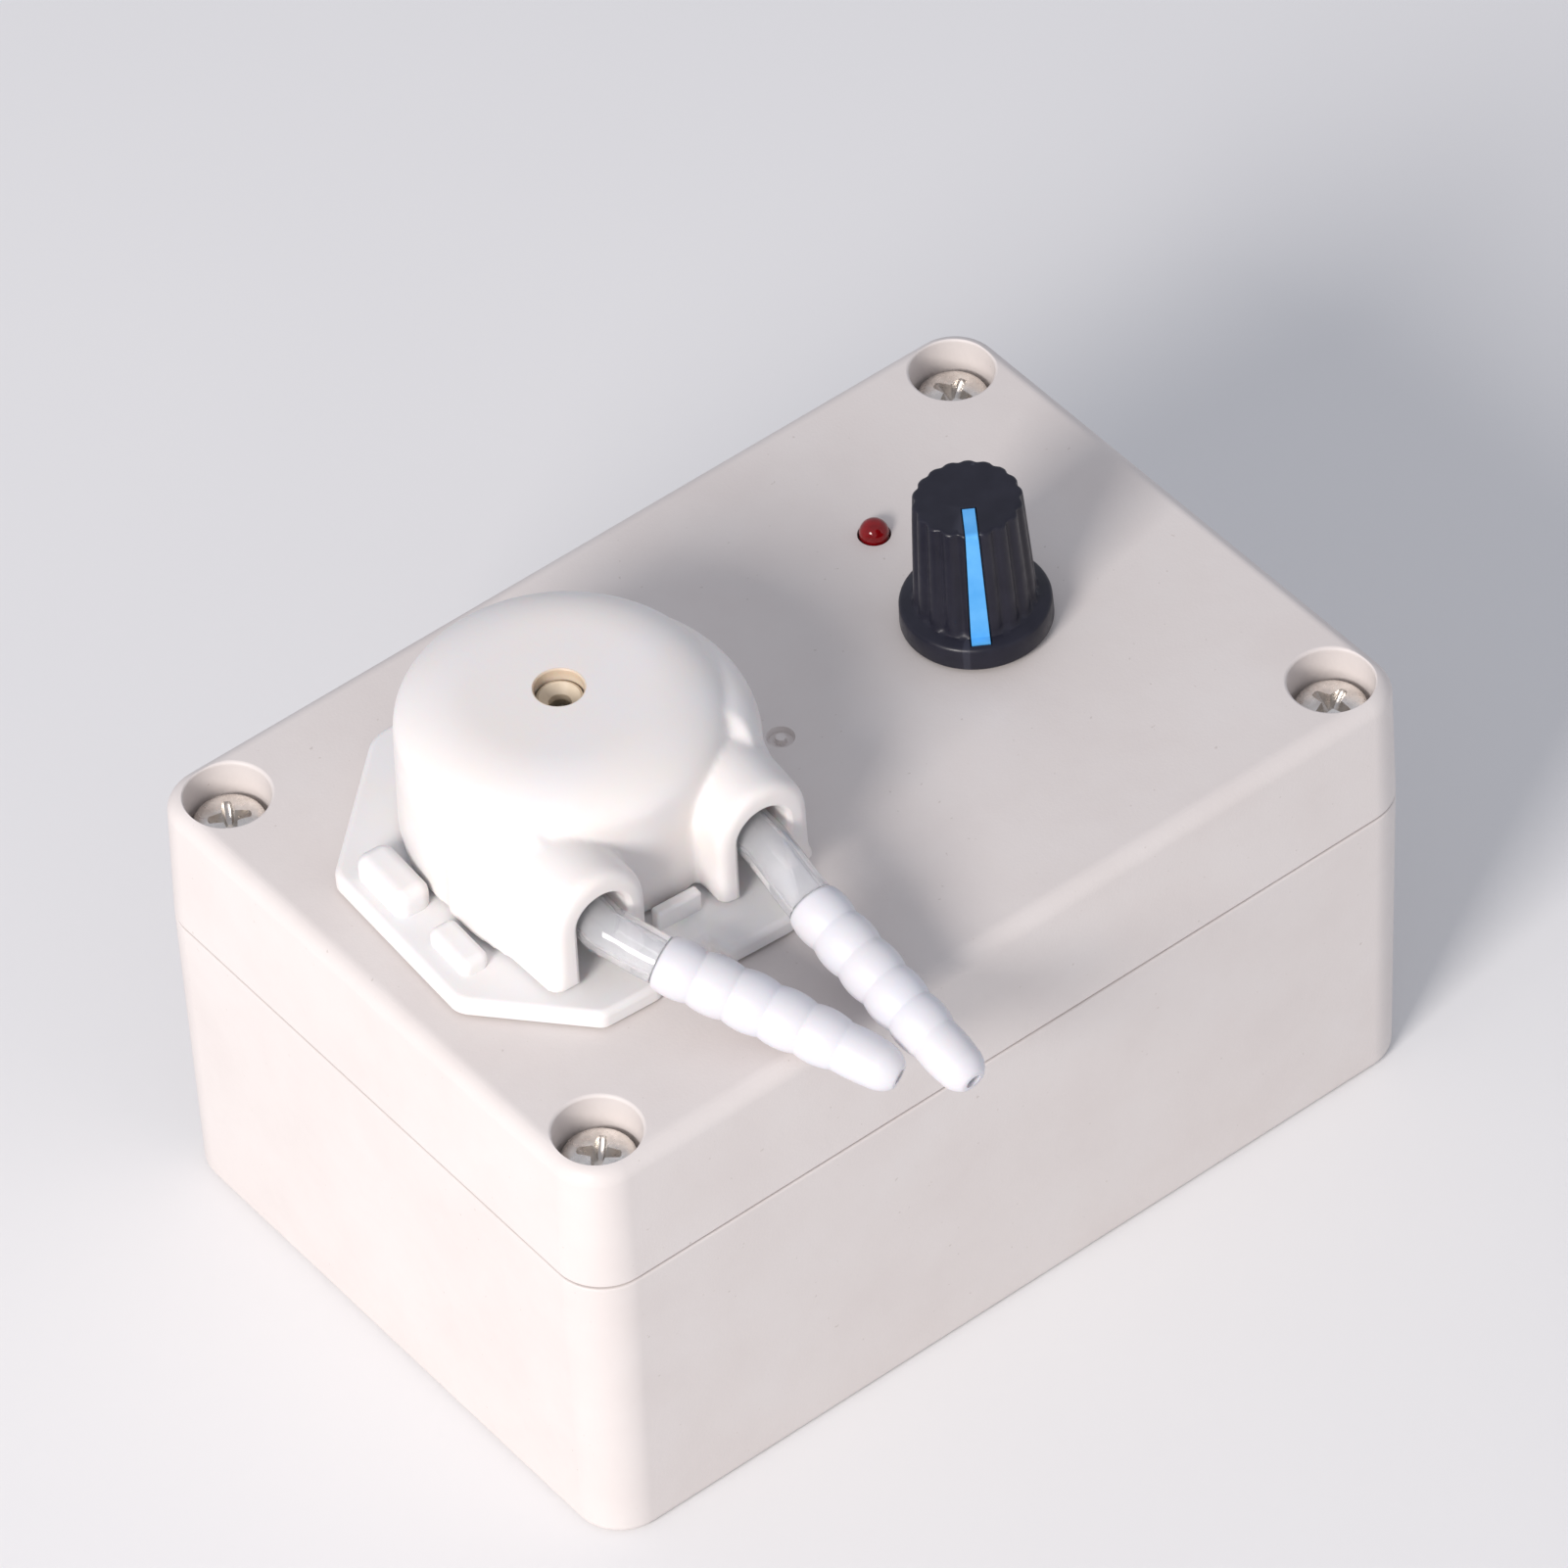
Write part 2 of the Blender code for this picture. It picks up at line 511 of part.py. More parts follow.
def make_head_cap():
    """Round cap with the wider lower body and the two arched tube ports, hollow for the rollers."""
    profile = [(DOME_FOOT_R, CAP_Z0), (DOME_R, 64.6 * MM)]
    for step in range(1, 6):
        angle = math.radians(90.0 - 18.0 * step)
        profile.append((8.5 * MM + (DOME_R - 8.5 * MM) * math.sin(angle),
                        64.6 * MM + 4.0 * MM * math.cos(angle)))
    cap = loft("head_cap", turned(profile, 48), CAP_PLASTIC, HEAD_PLACE, 35.0)
    profile = [(BULGE_R, CAP_Z0), (BULGE_R, BULGE_TOP - BULGE_EDGE)]
    for step in range(1, 5):
        angle = math.radians(22.5 * step)
        profile.append((BULGE_R - BULGE_EDGE * (1 - math.cos(angle)),
                        BULGE_TOP - BULGE_EDGE * (1 - math.sin(angle))))
    bulge = loft("tool_bulge", turned(profile, 56, BULGE_X, BULGE_Y), None, HEAD_PLACE, 35.0)
    cut(bulge, block("tool_bulge_notch", (0.0, -16.0 * MM, 60.0 * MM), (8.0 * MM, 12.0 * MM, 20.0 * MM),
                     None, HEAD_PLACE))
    join(cap, bulge)
    port = []
    for y, inset in ((0.0, 1.2), (0.12, 0.75), (0.5, 0.3), (1.2, 0.0)):
        grow = 0.4 * MM * y / 6.0
        port.append(port_section(4.05 * MM + inset * MM, 14.2 * MM - inset * MM + grow, PORT_TOP - inset * MM,
                                 PORT_FRONT + y * MM, CAP_Z0, 0.8 * MM))
    port.append(port_section(4.05 * MM, 14.6 * MM, PORT_TOP - 0.1 * MM, -13.5 * MM, CAP_Z0, 0.8 * MM))
    port.append(port_section(4.05 * MM, 16.2 * MM, PORT_TOP - 0.6 * MM, -8.4 * MM, CAP_Z0, 0.3 * MM))
    port.append(port_section(4.05 * MM, 16.4 * MM, PORT_TOP - 1.0 * MM, -4.5 * MM, CAP_Z0, 0.2 * MM))
    join(cap, loft("tool_port_right", port, None, HEAD_PLACE, 35.0))
    join(cap, loft("tool_port_left", mirrored(port), None, HEAD_PLACE, 35.0))
    bore = turned([(BORE_R, CAP_Z0 - 3 * MM), (BORE_R, BORE_TOP - 1.2 * MM), (BORE_R - 1.1 * MM, BORE_TOP)],
                  48)
    cut(cap, loft("tool_cap_bore", bore, None, HEAD_PLACE))
    slot = [slot_section(PORT_X, PORT_SLOT_R, PORT_SLOT_R, PORT_FRONT - 3 * MM),
            slot_section(PORT_X, PORT_SLOT_R, PORT_SLOT_R, -15.0 * MM),
            slot_section(PORT_X, PORT_SLOT_R, PORT_SLOT_R + 1.3 * MM, -12.0 * MM),
            slot_section(PORT_X + 1.0 * MM, PORT_SLOT_R, PORT_SLOT_R + 2.6 * MM, -8.5 * MM),
            slot_section(PORT_X + 1.4 * MM, PORT_SLOT_R, PORT_SLOT_R + 2.3 * MM, -4.0 * MM),
            slot_section(PORT_X + 0.6 * MM, PORT_SLOT_R, PORT_SLOT_R + 1.0 * MM, 1.0 * MM)]
    cut(cap, loft("tool_slot_right", slot, None, HEAD_PLACE))
    cut(cap, loft("tool_slot_left", mirrored(slot), None, HEAD_PLACE))
    cut(cap, rod("tool_cap_hole", CAP_HOLE_R, BORE_TOP - 2 * MM, CAP_TOP + 2 * MM, 28, place=HEAD_PLACE))
    return cap


def slot_section(x, half_in, half_out, y):
    """Arch-topped passage for the tube, open at the bottom."""
    arch = PORT_ARCH_Z
    points = [Vector((x + half_out, y, CAP_Z0 - 3 * MM))]
    for step in range(11):
        angle = math.pi * step / 10
        half = half_out if angle < math.pi / 2 else half_in
        points.append(Vector((x + half * math.cos(angle), y, arch + PORT_SLOT_R * math.sin(angle))))
    points.append(Vector((x - half_in, y, CAP_Z0 - 3 * MM)))
    return points


# ---- rollers and drive ------------------------------------------------------
def orbit_point(radius, degrees):
    """Level point on a circle about the head axis."""
    angle = math.radians(degrees)
    return radius * math.cos(angle), radius * math.sin(angle)


ROLLER_ANGLES = (90.0, 210.0, 330.0)
POST_ANGLES = (30.0, 150.0, 270.0)


def make_cage():
    """Lower disc with three posts, and the upper disc with the hub seen through the cap."""
    lower_z0 = 53.0 * MM
    lower_z1 = 54.2 * MM
    upper_z0 = ROLLER_Z1 + GAP
    upper_z1 = upper_z0 + 1.2 * MM
    ring = turned([(2.6 * MM, lower_z0), (CAGE_R, lower_z0), (CAGE_R, lower_z1), (2.6 * MM, lower_z1)], 28,
                  start=0.07)
    lower = loft("cage_lower", ring, CAGE_PLASTIC, HEAD_PLACE, 35.0, ring=True)
    for i, degrees in enumerate(POST_ANGLES):
        x, y = orbit_point(POST_ORBIT, degrees)
        join(lower, rod(f"tool_cage_post_{i}", 1.45 * MM, lower_z0 + 0.37 * MM, upper_z0 - GAP, 18, x, y,
                        HEAD_PLACE))
    profile = [(1.45 * MM, upper_z0), (CAGE_R, upper_z0), (CAGE_R, upper_z1), (5.0 * MM, upper_z1),
               (4.0 * MM, upper_z1 + 0.8 * MM), (4.0 * MM, 66.3 * MM), (3.7 * MM, 66.6 * MM),
               (2.2 * MM, 66.6 * MM),
               (2.2 * MM, 67.3 * MM), (1.95 * MM, 67.4 * MM), (1.1 * MM, 66.6 * MM), (1.1 * MM, 65.9 * MM),
               (1.45 * MM, 65.9 * MM)]
    upper = loft("cage_upper", turned(profile, 28, start=0.07),
                 UPPER_CAGE_PLASTIC, HEAD_PLACE, 35.0, ring=True)
    for i, degrees in enumerate(ROLLER_ANGLES):
        x, y = orbit_point(ROLLER_ORBIT, degrees)
        for target, low, high, tag in ((lower, lower_z0, lower_z1, "low"),
                                       (upper, upper_z0, upper_z1, "high")):
            cut(target, rod(f"tool_pin_hole_{tag}_{i}", PIN_R + GAP, low - MM, high + MM, 12, x, y,
                            HEAD_PLACE))
        rod(f"roller_pin_{i + 1}", PIN_R, lower_z0 - 0.1 * MM, upper_z1 + 0.4 * MM, 12, x, y, HEAD_PLACE,
            PIN_STEEL)
    return lower, upper


def make_rollers():
    """Three plain rollers, each with its origin on its own pin."""
    edge = 0.4 * MM
    profile = [(PIN_R + GAP, ROLLER_Z0), (ROLLER_R - edge, ROLLER_Z0), (ROLLER_R, ROLLER_Z0 + edge),
               (ROLLER_R, ROLLER_Z1 - edge), (ROLLER_R - edge, ROLLER_Z1), (PIN_R + GAP, ROLLER_Z1)]
    for i, degrees in enumerate(ROLLER_ANGLES):
        x, y = orbit_point(ROLLER_ORBIT, degrees)
        place = HEAD_PLACE @ Matrix.Translation((x, y, 0.0))
        loft(f"roller_{i + 1}", turned(profile, 24), ROLLER_PLASTIC, place, 35.0, ring=True)


def make_drive():
    """Motor under the lid, its shaft, the friction sleeve and the two mounting screws."""
    loft("motor_shaft", turned([(SHAFT_R, MOTOR_Z1 - 3.0 * MM), (SHAFT_R, 65.2 * MM),
                                (SHAFT_R - 0.3 * MM, 65.5 * MM)],
                               20), SHAFT_STEEL, HEAD_PLACE, 35.0)
    sleeve = turned([(SHAFT_R + GAP, 53.4 * MM), (SPINDLE_R, 53.4 * MM), (SPINDLE_R, 61.8 * MM),
                     (SHAFT_R + GAP, 61.8 * MM)], 28)
    loft("drive_sleeve", sleeve, SPINDLE_PLASTIC, HEAD_PLACE, 35.0, ring=True)
    can = turned([(MOTOR_R, MOTOR_Z0), (MOTOR_R, MOTOR_Z1 - 1.0 * MM),
                  (MOTOR_R - 0.3 * MM, MOTOR_Z1 - 0.3 * MM),
                  (MOTOR_R - 1.0 * MM, MOTOR_Z1), (3.2 * MM, MOTOR_Z1), (3.2 * MM, 48.6 * MM)], 28)
    motor = loft("motor_can", can, MOTOR_STEEL, HEAD_PLACE, 35.0)
    cut(motor, rod("tool_motor_bore", SHAFT_R + GAP, MOTOR_Z1 - 3.4 * MM, 52.0 * MM, 20, place=HEAD_PLACE))
    for i, sign in enumerate((1, -1)):
        cut(motor, rod(f"tool_motor_thread_{i}", 1.6 * MM, 43.6 * MM, 50.0 * MM, 12, sign * 8.0 * MM, 0.0,
                       HEAD_PLACE))
    cap = [(MOTOR_R - 0.6 * MM, MOTOR_Z0 - 2.4 * MM), (MOTOR_R - 0.6 * MM, MOTOR_Z0 - GAP)]
    loft("motor_end_cap", turned([(5.0 * MM, MOTOR_Z0 - 3.4 * MM), (5.4 * MM, MOTOR_Z0 - 2.4 * MM)] + cap,
                                 32),
         MOTOR_PLASTIC, HEAD_PLACE, 35.0)
    for i, sign in enumerate((1, -1)):
        block(f"motor_tab_{i + 1}", (sign * 8.5 * MM, 0.0, MOTOR_Z0 - 4.4 * MM),
              (0.5 * MM, 2.2 * MM, 3.4 * MM),
              MOTOR_TAB_BRASS, HEAD_PLACE)
    profile = [(1.25 * MM, 44.0 * MM), (1.25 * MM, 51.2 * MM), (2.2 * MM, 51.2 * MM), (2.2 * MM, 52.2 * MM)]
    for i, sign in enumerate((1, -1)):
        loft(f"motor_screw_{i + 1}", turned(profile, 12, sign * 8.0 * MM), MOUNT_SCREW_STEEL, HEAD_PLACE,
             30.0)


# ---- tube and connectors ----------------------------------------------------
# Axis of each hose stub in head coordinates, from the port outwards and down over the
# front edge of the box.
RIGHT_STUB = [(9.0, -19.5, 58.3), (8.7, -27.0, 56.9), (9.5, -36.1, 54.3), (10.3, -45.1, 51.9),
              (10.7, -49.5, 50.7)]
LEFT_STUB = [(-9.0, -19.5, 58.3), (-6.3, -25.2, 56.9), (-1.9, -31.9, 54.6), (3.5, -40.9, 51.9),
             (5.7, -45.1, 50.7)]


def stub_curve(points):
    """Smooth axis of one stub, in metres."""
    return smooth_path([Vector(p) * MM for p in points], 24)


def cut_by_length(path, start, end, count):
    """Evenly spaced points between two lengths along a path."""
    lengths = [0.0]
    for a, b in zip(path, path[1:]):
        lengths.append(lengths[-1] + (b - a).length)
    result = []
    for i in range(count):
        want = start + (end - start) * i / (count - 1)
        k = 1
        while k < len(lengths) - 1 and lengths[k] < want:
            k += 1
        t = (want - lengths[k - 1]) / (lengths[k] - lengths[k - 1])
        result.append(path[k - 1].lerp(path[k], t))
    return result


def barb_swell(distance, start):
    """How far the hose is stretched over the barbs, by distance past the first barb."""
    x = (distance - start) / MM
    if x < -1.0:
        return 0.0
    swell = min(1.0, (x + 1.0) / 2.2) * 0.62
    return (swell + 0.16 * math.sin(max(0.0, x) * 2 * math.pi / 3.1)) * MM


HOSE_END = 15.6 * MM
RIGHT_BARB = 7.4 * MM
LEFT_BARB = 5.6 * MM
LEFT_HOSE_END = 12.4 * MM


def make_tube():
    """One silicone hose: stub, squeezed loop round the track, stub; open at both ends."""
    path = []
    size = []
    right = stub_curve(RIGHT_STUB)
    left = stub_curve(LEFT_STUB)
    for i, point in enumerate(reversed(cut_by_length(right, 0.0, HOSE_END, 17))):
        distance = HOSE_END * (16 - i) / 16
        path.append(point)
        size.append((TUBE_R + barb_swell(distance, RIGHT_BARB),) * 2)
    inner = [Vector(p) * MM for p in ((9.0, -19.5, 58.3), (9.05, -15.5, 58.3), (9.9, -11.8, 58.3),
                                      (12.2, -8.2, 58.3), (13.5, -4.2, 58.3))]
    track_start = -6.0
    track_end = 186.0
    bend = smooth_path(inner + [Vector((*orbit_point(TRACK_R, track_start + 3), TUBE_Z))], 3)
    squeeze = len(bend) - 1
    for i, point in enumerate(bend[1:-1], start=1):
        t = max(0.0, min(1.0, (i - squeeze * 0.55) / (squeeze * 0.45)))
        t = t * t * (3 - 2 * t)
        path.append(point)
        size.append((TUBE_R + (FLAT_HALF - TUBE_R) * t, TUBE_R + (FLAT_TALL - TUBE_R) * t))
    steps = 24
    for i in range(steps + 1):
        degrees = track_start + 3 + (track_end - track_start - 6) * i / steps
        path.append(Vector((*orbit_point(TRACK_R, degrees), TUBE_Z)))
        size.append((FLAT_HALF, FLAT_TALL))
    for i, point in enumerate(reversed(bend[1:-1])):
        index = squeeze - 1 - i
        t = max(0.0, min(1.0, (index - squeeze * 0.55) / (squeeze * 0.45)))
        t = t * t * (3 - 2 * t)
        path.append(Vector((-point.x, point.y, point.z)))
        size.append((TUBE_R + (FLAT_HALF - TUBE_R) * t, TUBE_R + (FLAT_TALL - TUBE_R) * t))
    for i, point in enumerate(cut_by_length(left, 0.0, LEFT_HOSE_END, 14)):
        distance = LEFT_HOSE_END * i / 13
        path.append(point)
        size.append((TUBE_R + barb_swell(distance, LEFT_BARB),) * 2)
    outer = swept(path, [ellipse(a, b, 12) for a, b in size])
    inner_sections = [ellipse(max(0.1 * MM, a - TUBE_WALL), b - TUBE_WALL, 12) for a, b in size]
    bore = swept(path, inner_sections)
    bore = bore[:-1:2] + [bore[-1]]
    return loft("pump_tube", outer + list(reversed(bore)), TUBE_SILICONE, HEAD_PLACE, 50.0, ring=True)


def connector_radius(x, start, collar, nose, end):
    """Radius of a barbed hose connector at a distance (mm) along its axis."""
    if x < collar - 0.2:
        local = (x - start) % 3.1
        return 1.42 + 0.13 * local / 3.1 if x - start > 0.4 else 1.2
    if x < collar + 1.3:
        return 3.45
    if x < nose:
        local = (x - collar - 1.3) / (nose - collar - 1.3) * 4.0
        tooth = local - math.floor(local)
        return 3.38 - 0.07 * local - 0.42 * tooth ** 1.5
    t = (x - nose) / (end - nose)
    if t < 0.62:
        return 2.62 - 0.25 * t
    u = (t - 0.62) / 0.38
    return 2.45 * math.sqrt(max(0.0, 1 - (0.86 * u) ** 2))


def make_connector(name, stub, start, collar, nose, end, look):
    """White hose connector: barbs inside the hose, collar, exposed ribs and a rounded nose."""
    curve = stub_curve(stub)
    stations = [start + 0.01, start + 0.5]
    x = start + 1.5
    while x < collar - 0.3:
        stations.append(x)
        x += 1.55
    stations += [collar - 0.21, collar - 0.2, collar - 0.19 + 0.15, collar + 1.15, collar + 1.29]
    pitch = (nose - collar - 1.3) / 4.0
    for rib in range(4):
        for part in (0.02, 0.5, 0.97):
            stations.append(collar + 1.3 + (rib + part) * pitch)
    for part in (0.01, 0.6, 0.8, 0.93, 1.0):
        stations.append(nose + part * (end - nose))
    stations = sorted(set(round(s, 4) for s in stations))
    path = [cut_by_length(curve, s * MM, s * MM + 1e-9, 2)[0] for s in stations]
    radii = [connector_radius(s, start, collar, nose, end) * MM for s in stations]
    outer = swept(path, [ellipse(r, r, 16) for r in radii])
    bore = swept(path, [ellipse(0.8 * MM, 0.8 * MM, 16)] * len(path))
    bore = [bore[0]] + bore[4:-4:6] + [bore[-1]]
    return loft(name, outer + list(reversed(bore)), look, HEAD_PLACE, 30.0, ring=True)


# ---- knob, potentiometer and lamp -------------------------------------------
def knob_loop(radius, depth, z, count=54):
    """Level loop with shallow hollow flutes."""
    points = []
    for i in range(count):
        angle = 2 * math.pi * i / count
        wave = abs(math.sin(FLUTES * angle / 2.0)) if depth > 0 else 0.0
        r = radius - depth * (1.0 - wave ** 2) if depth > 0 else radius
        points.append(Vector((r * math.cos(angle), r * math.sin(angle), z)))
    return points


def make_knob():
    """Fluted black knob with a plain skirt; its underside clears the nut."""
    loops = [knob_loop(6.2 * MM, 0, 52.3 * MM), knob_loop(6.2 * MM, 0, BOX_Z + 0.4 * MM)]
    loops += [knob_loop(SKIRT_R - 0.3 * MM, 0, BOX_Z + 0.4 * MM), knob_loop(SKIRT_R, 0, BOX_Z + 0.7 * MM)]
    loops += [knob_loop(SKIRT_R, 0, SKIRT_TOP - 1.3 * MM),
              knob_loop(SKIRT_R - 0.35 * MM, 0, SKIRT_TOP - 0.5 * MM)]
    loops += [knob_loop(SKIRT_R - 0.95 * MM, 0, SKIRT_TOP)]
    loops += [knob_loop(KNOB_FOOT_R + 0.05 * MM, 0.05 * MM, SKIRT_TOP + 0.15 * MM)]
    loops += [knob_loop(KNOB_FOOT_R, 0.32 * MM, SKIRT_TOP + 0.6 * MM)]
    loops += [knob_loop(KNOB_TOP_R + 0.05 * MM, 0.32 * MM, KNOB_TOP - 1.2 * MM)]
    loops += [knob_loop(KNOB_TOP_R, 0.2 * MM, KNOB_TOP - 0.5 * MM)]
    loops += [knob_loop(KNOB_TOP_R - 0.2 * MM, 0.05 * MM, KNOB_TOP - 0.12 * MM)]
    loops += [knob_loop(KNOB_TOP_R - 0.5 * MM, 0, KNOB_TOP)]
    knob = loft("knob", loops, KNOB_PLASTIC, KNOB_PLACE, 30.0)
    cut(knob, rod("tool_knob_bore", 3.25 * MM, BOX_Z - 2 * MM, 62.3 * MM, 32, place=KNOB_PLACE))
    cut(knob, pointer_bar("tool_pointer_groove", 0.12 * MM, 0.55 * MM, 0.6 * MM, None))
    return knob


def pointer_bar(name, side_gap, depth, stand_off, look):
    """Bent bar that runs out along the top of the knob and down its flank."""
    top = KNOB_TOP + stand_off
    deep = KNOB_TOP - depth
    lean = (KNOB_FOOT_R - KNOB_TOP_R) / (KNOB_TOP - SKIRT_TOP)
    foot_z = SKIRT_TOP + 0.45 * MM - side_gap
    foot_r = KNOB_TOP_R + lean * (KNOB_TOP - foot_z)
    profile = [(1.6 * MM - side_gap, top), (KNOB_TOP_R - 0.45 * MM + stand_off, top),
               (KNOB_TOP_R + stand_off, KNOB_TOP - 0.5 * MM + stand_off * 0.5), (foot_r + stand_off, foot_z),
               (foot_r - depth, foot_z), (KNOB_TOP_R - depth, deep), (1.6 * MM - side_gap, deep)]
    loops = []
    for sign in (-1, 1):
        loop = []
        for radius, z in profile:
            half = (0.68 + 0.28 * (KNOB_TOP - z) / (KNOB_TOP - SKIRT_TOP)) * MM + side_gap
            loop.append(Vector((radius, sign * half, z)))
        loops.append(loop)
    return loft(name, loops, look, KNOB_PLACE @ Matrix.Rotation(POINTER_ANGLE, 4, "Z"))


def make_potentiometer():
    """Panel potentiometer below the knob."""
    body = turned([(8.2 * MM, 38.9 * MM), (8.2 * MM, 46.9 * MM), (3.5 * MM, 46.9 * MM),
                   (3.5 * MM, 52.1 * MM)], 28)
    pot = loft("pot_body", body, POT_STEEL, KNOB_PLACE, 35.0)
    cut(pot, rod("tool_pot_bore", 2.5 * MM, 46.6 * MM, 54.0 * MM, 28, place=KNOB_PLACE))
    shaft = turned([(2.2 * MM, 46.9 * MM), (2.2 * MM, 52.4 * MM), (2.95 * MM, 52.4 * MM),
                    (2.95 * MM, 61.6 * MM),
                    (2.6 * MM, 62.0 * MM)], 20)
    loft("pot_shaft", shaft, POT_SHAFT_ALUMINIUM, KNOB_PLACE, 35.0)
    nut = bmesh.new()
    add_loft(nut, [circle(5.6 * MM, 50.75 * MM, 6), circle(5.6 * MM, 51.95 * MM, 6),
                   circle(3.8 * MM, 51.95 * MM, 6), circle(3.8 * MM, 50.75 * MM, 6)], ring=True)
    nut_body = finish("pot_nut", nut, POT_NUT_STEEL, KNOB_PLACE)
    cut(nut_body, rod("tool_nut_bore", 3.8 * MM, 49 * MM, 53 * MM, 18, place=KNOB_PLACE))
    washer = turned([(3.8 * MM, 50.15 * MM), (5.6 * MM, 50.15 * MM), (5.6 * MM, 50.5 * MM),
                     (3.8 * MM, 50.5 * MM)], 20)
    loft("pot_washer", washer, POT_WASHER_STEEL, KNOB_PLACE, 35.0, ring=True)
    for i, offset in enumerate((-5.0, 0.0, 5.0)):
        block(f"pot_pin_{i + 1}", (offset * MM, -5.6 * MM, 37.75 * MM), (1.0 * MM, 0.4 * MM, 1.6 * MM),
              POT_PIN_STEEL, KNOB_PLACE)


def make_lamp():
    """Three-millimetre red lamp with its two leads."""
    profile = [(1.95 * MM, 45.9 * MM), (1.95 * MM, 46.9 * MM), (LAMP_R, 46.9 * MM), (LAMP_R, 50.25 * MM)]
    for step in range(1, 6):
        angle = math.radians(16.0 * step)
        profile.append((LAMP_R * math.cos(angle), 50.25 * MM + LAMP_R * math.sin(angle)))
    place = Matrix.Translation((LAMP_X, LAMP_Y, 0.0))
    loft("lamp", turned(profile, 20), LAMP_PLASTIC, place, 35.0)
    for i, sign in enumerate((1, -1)):
        block(f"lamp_lead_{i + 1}", (sign * 1.27 * MM, 0.0, 41.25 * MM), (0.5 * MM, 0.5 * MM, 8.6 * MM),
              LAMP_LEAD_STEEL, place)


# ---- circuit board and power inlet ------------------------------------------
def make_electronics():
    """Speed-control board and its larger components, hung from the potentiometer."""
    board = [rounded_rectangle(17.5 * MM, 23.0 * MM, 1.5 * MM, z, 3) for z in (BOARD_Z0, BOARD_Z1)]
    loft("circuit_board", board, BOARD_LAMINATE, Matrix.Translation((20.5 * MM, 1.0 * MM, 0.0)))
    under = BOARD_Z0 - GAP
    can = turned([(3.6 * MM, under - 12.5 * MM), (4.0 * MM, under - 12.1 * MM), (4.0 * MM, under - 1.6 * MM),
                  (3.7 * MM, under - 1.2 * MM), (4.0 * MM, under - 0.8 * MM), (4.0 * MM, under)], 18)
    loft("capacitor", can, CAPACITOR_SLEEVE, Matrix.Translation((29.0 * MM, -13.0 * MM, 0.0)), 30.0)
    block("transistor", (13.0 * MM, -14.0 * MM, under - 6.5 * MM), (10.0 * MM, 4.4 * MM, 9.0 * MM),
          TRANSISTOR_PLASTIC, bevel=0.3 * MM)
    tab = block("transistor_tab", (13.0 * MM, -11.0 * MM, under - 9.5 * MM), (10.0 * MM, 1.0 * MM, 15.0 * MM),
                TRANSISTOR_TAB)
    hole = [along_y(loop) for loop in turned([(1.8 * MM, -14 * MM), (1.8 * MM, -8 * MM)], 20)]
    cut(tab, loft("tool_tab_hole", hole, None, Matrix.Translation((13.0 * MM, 0.0, under - 14.5 * MM))))
    block("terminal_block", (10.0 * MM, 13.0 * MM, under - 4.5 * MM), (9.0 * MM, 16.0 * MM, 9.0 * MM),
          TERMINAL_PLASTIC, bevel=0.4 * MM)
    for i, offset in enumerate((-6.0, -2.0, 2.0, 6.0)):
        rod(f"terminal_screw_{i + 1}", 1.3 * MM, under - 9.9 * MM, under - 9.3 * MM, 10,
            10.0 * MM, (13.0 + offset) * MM, look=TERMINAL_STEEL)


def make_power_inlet():
    """Round low-voltage socket in the rear wall with its nut and centre pin."""
    place = Matrix.Translation((JACK_X, 0.0, JACK_Z))
    outer = [(JACK_R, 21.0 * MM), (JACK_R, 34.25 * MM), (5.6 * MM, 34.25 * MM), (5.6 * MM, 35.2 * MM),
             (5.2 * MM, 35.6 * MM)]
    inner = [(2.9 * MM, 35.6 * MM), (2.75 * MM, 35.4 * MM), (2.75 * MM, 26.0 * MM)]
    loops = [along_y(loop) for loop in turned(outer + inner, 24)]
    loft("dc_jack", loops, JACK_PLASTIC, place, 35.0)
    pin = [along_y(loop) for loop in turned([(1.0 * MM, 26.3 * MM), (1.0 * MM, 34.0 * MM),
                                             (0.7 * MM, 34.4 * MM)], 12)]
    loft("jack_pin", pin, JACK_PIN_BRASS, place, 35.0)
    nut = bmesh.new()
    add_loft(nut, [along_y(loop) for loop in ([circle(6.2 * MM, 28.6 * MM, 6), circle(6.2 * MM, 31.0 * MM, 6),
                                               circle(JACK_R + GAP, 31.0 * MM, 6),
                                               circle(JACK_R + GAP, 28.6 * MM, 6)])], ring=True)
    nut_body = finish("jack_nut", nut, JACK_NUT_BRASS, place)
    hole = [along_y(loop) for loop in turned([(JACK_R + GAP, 27 * MM), (JACK_R + GAP, 33 * MM)], 18)]
    cut(nut_body, loft("tool_jack_nut_bore", hole, None, place))


def make_wire(name, knots, look):
    """Insulated wire as a round swept bar."""
    path = smooth_path([Vector(k) * MM for k in knots], 3)
    loops = swept(path, [ellipse(0.7 * MM, 0.7 * MM, 6)] * len(path))
    return loft(name, loops, look, smooth_angle=50.0)


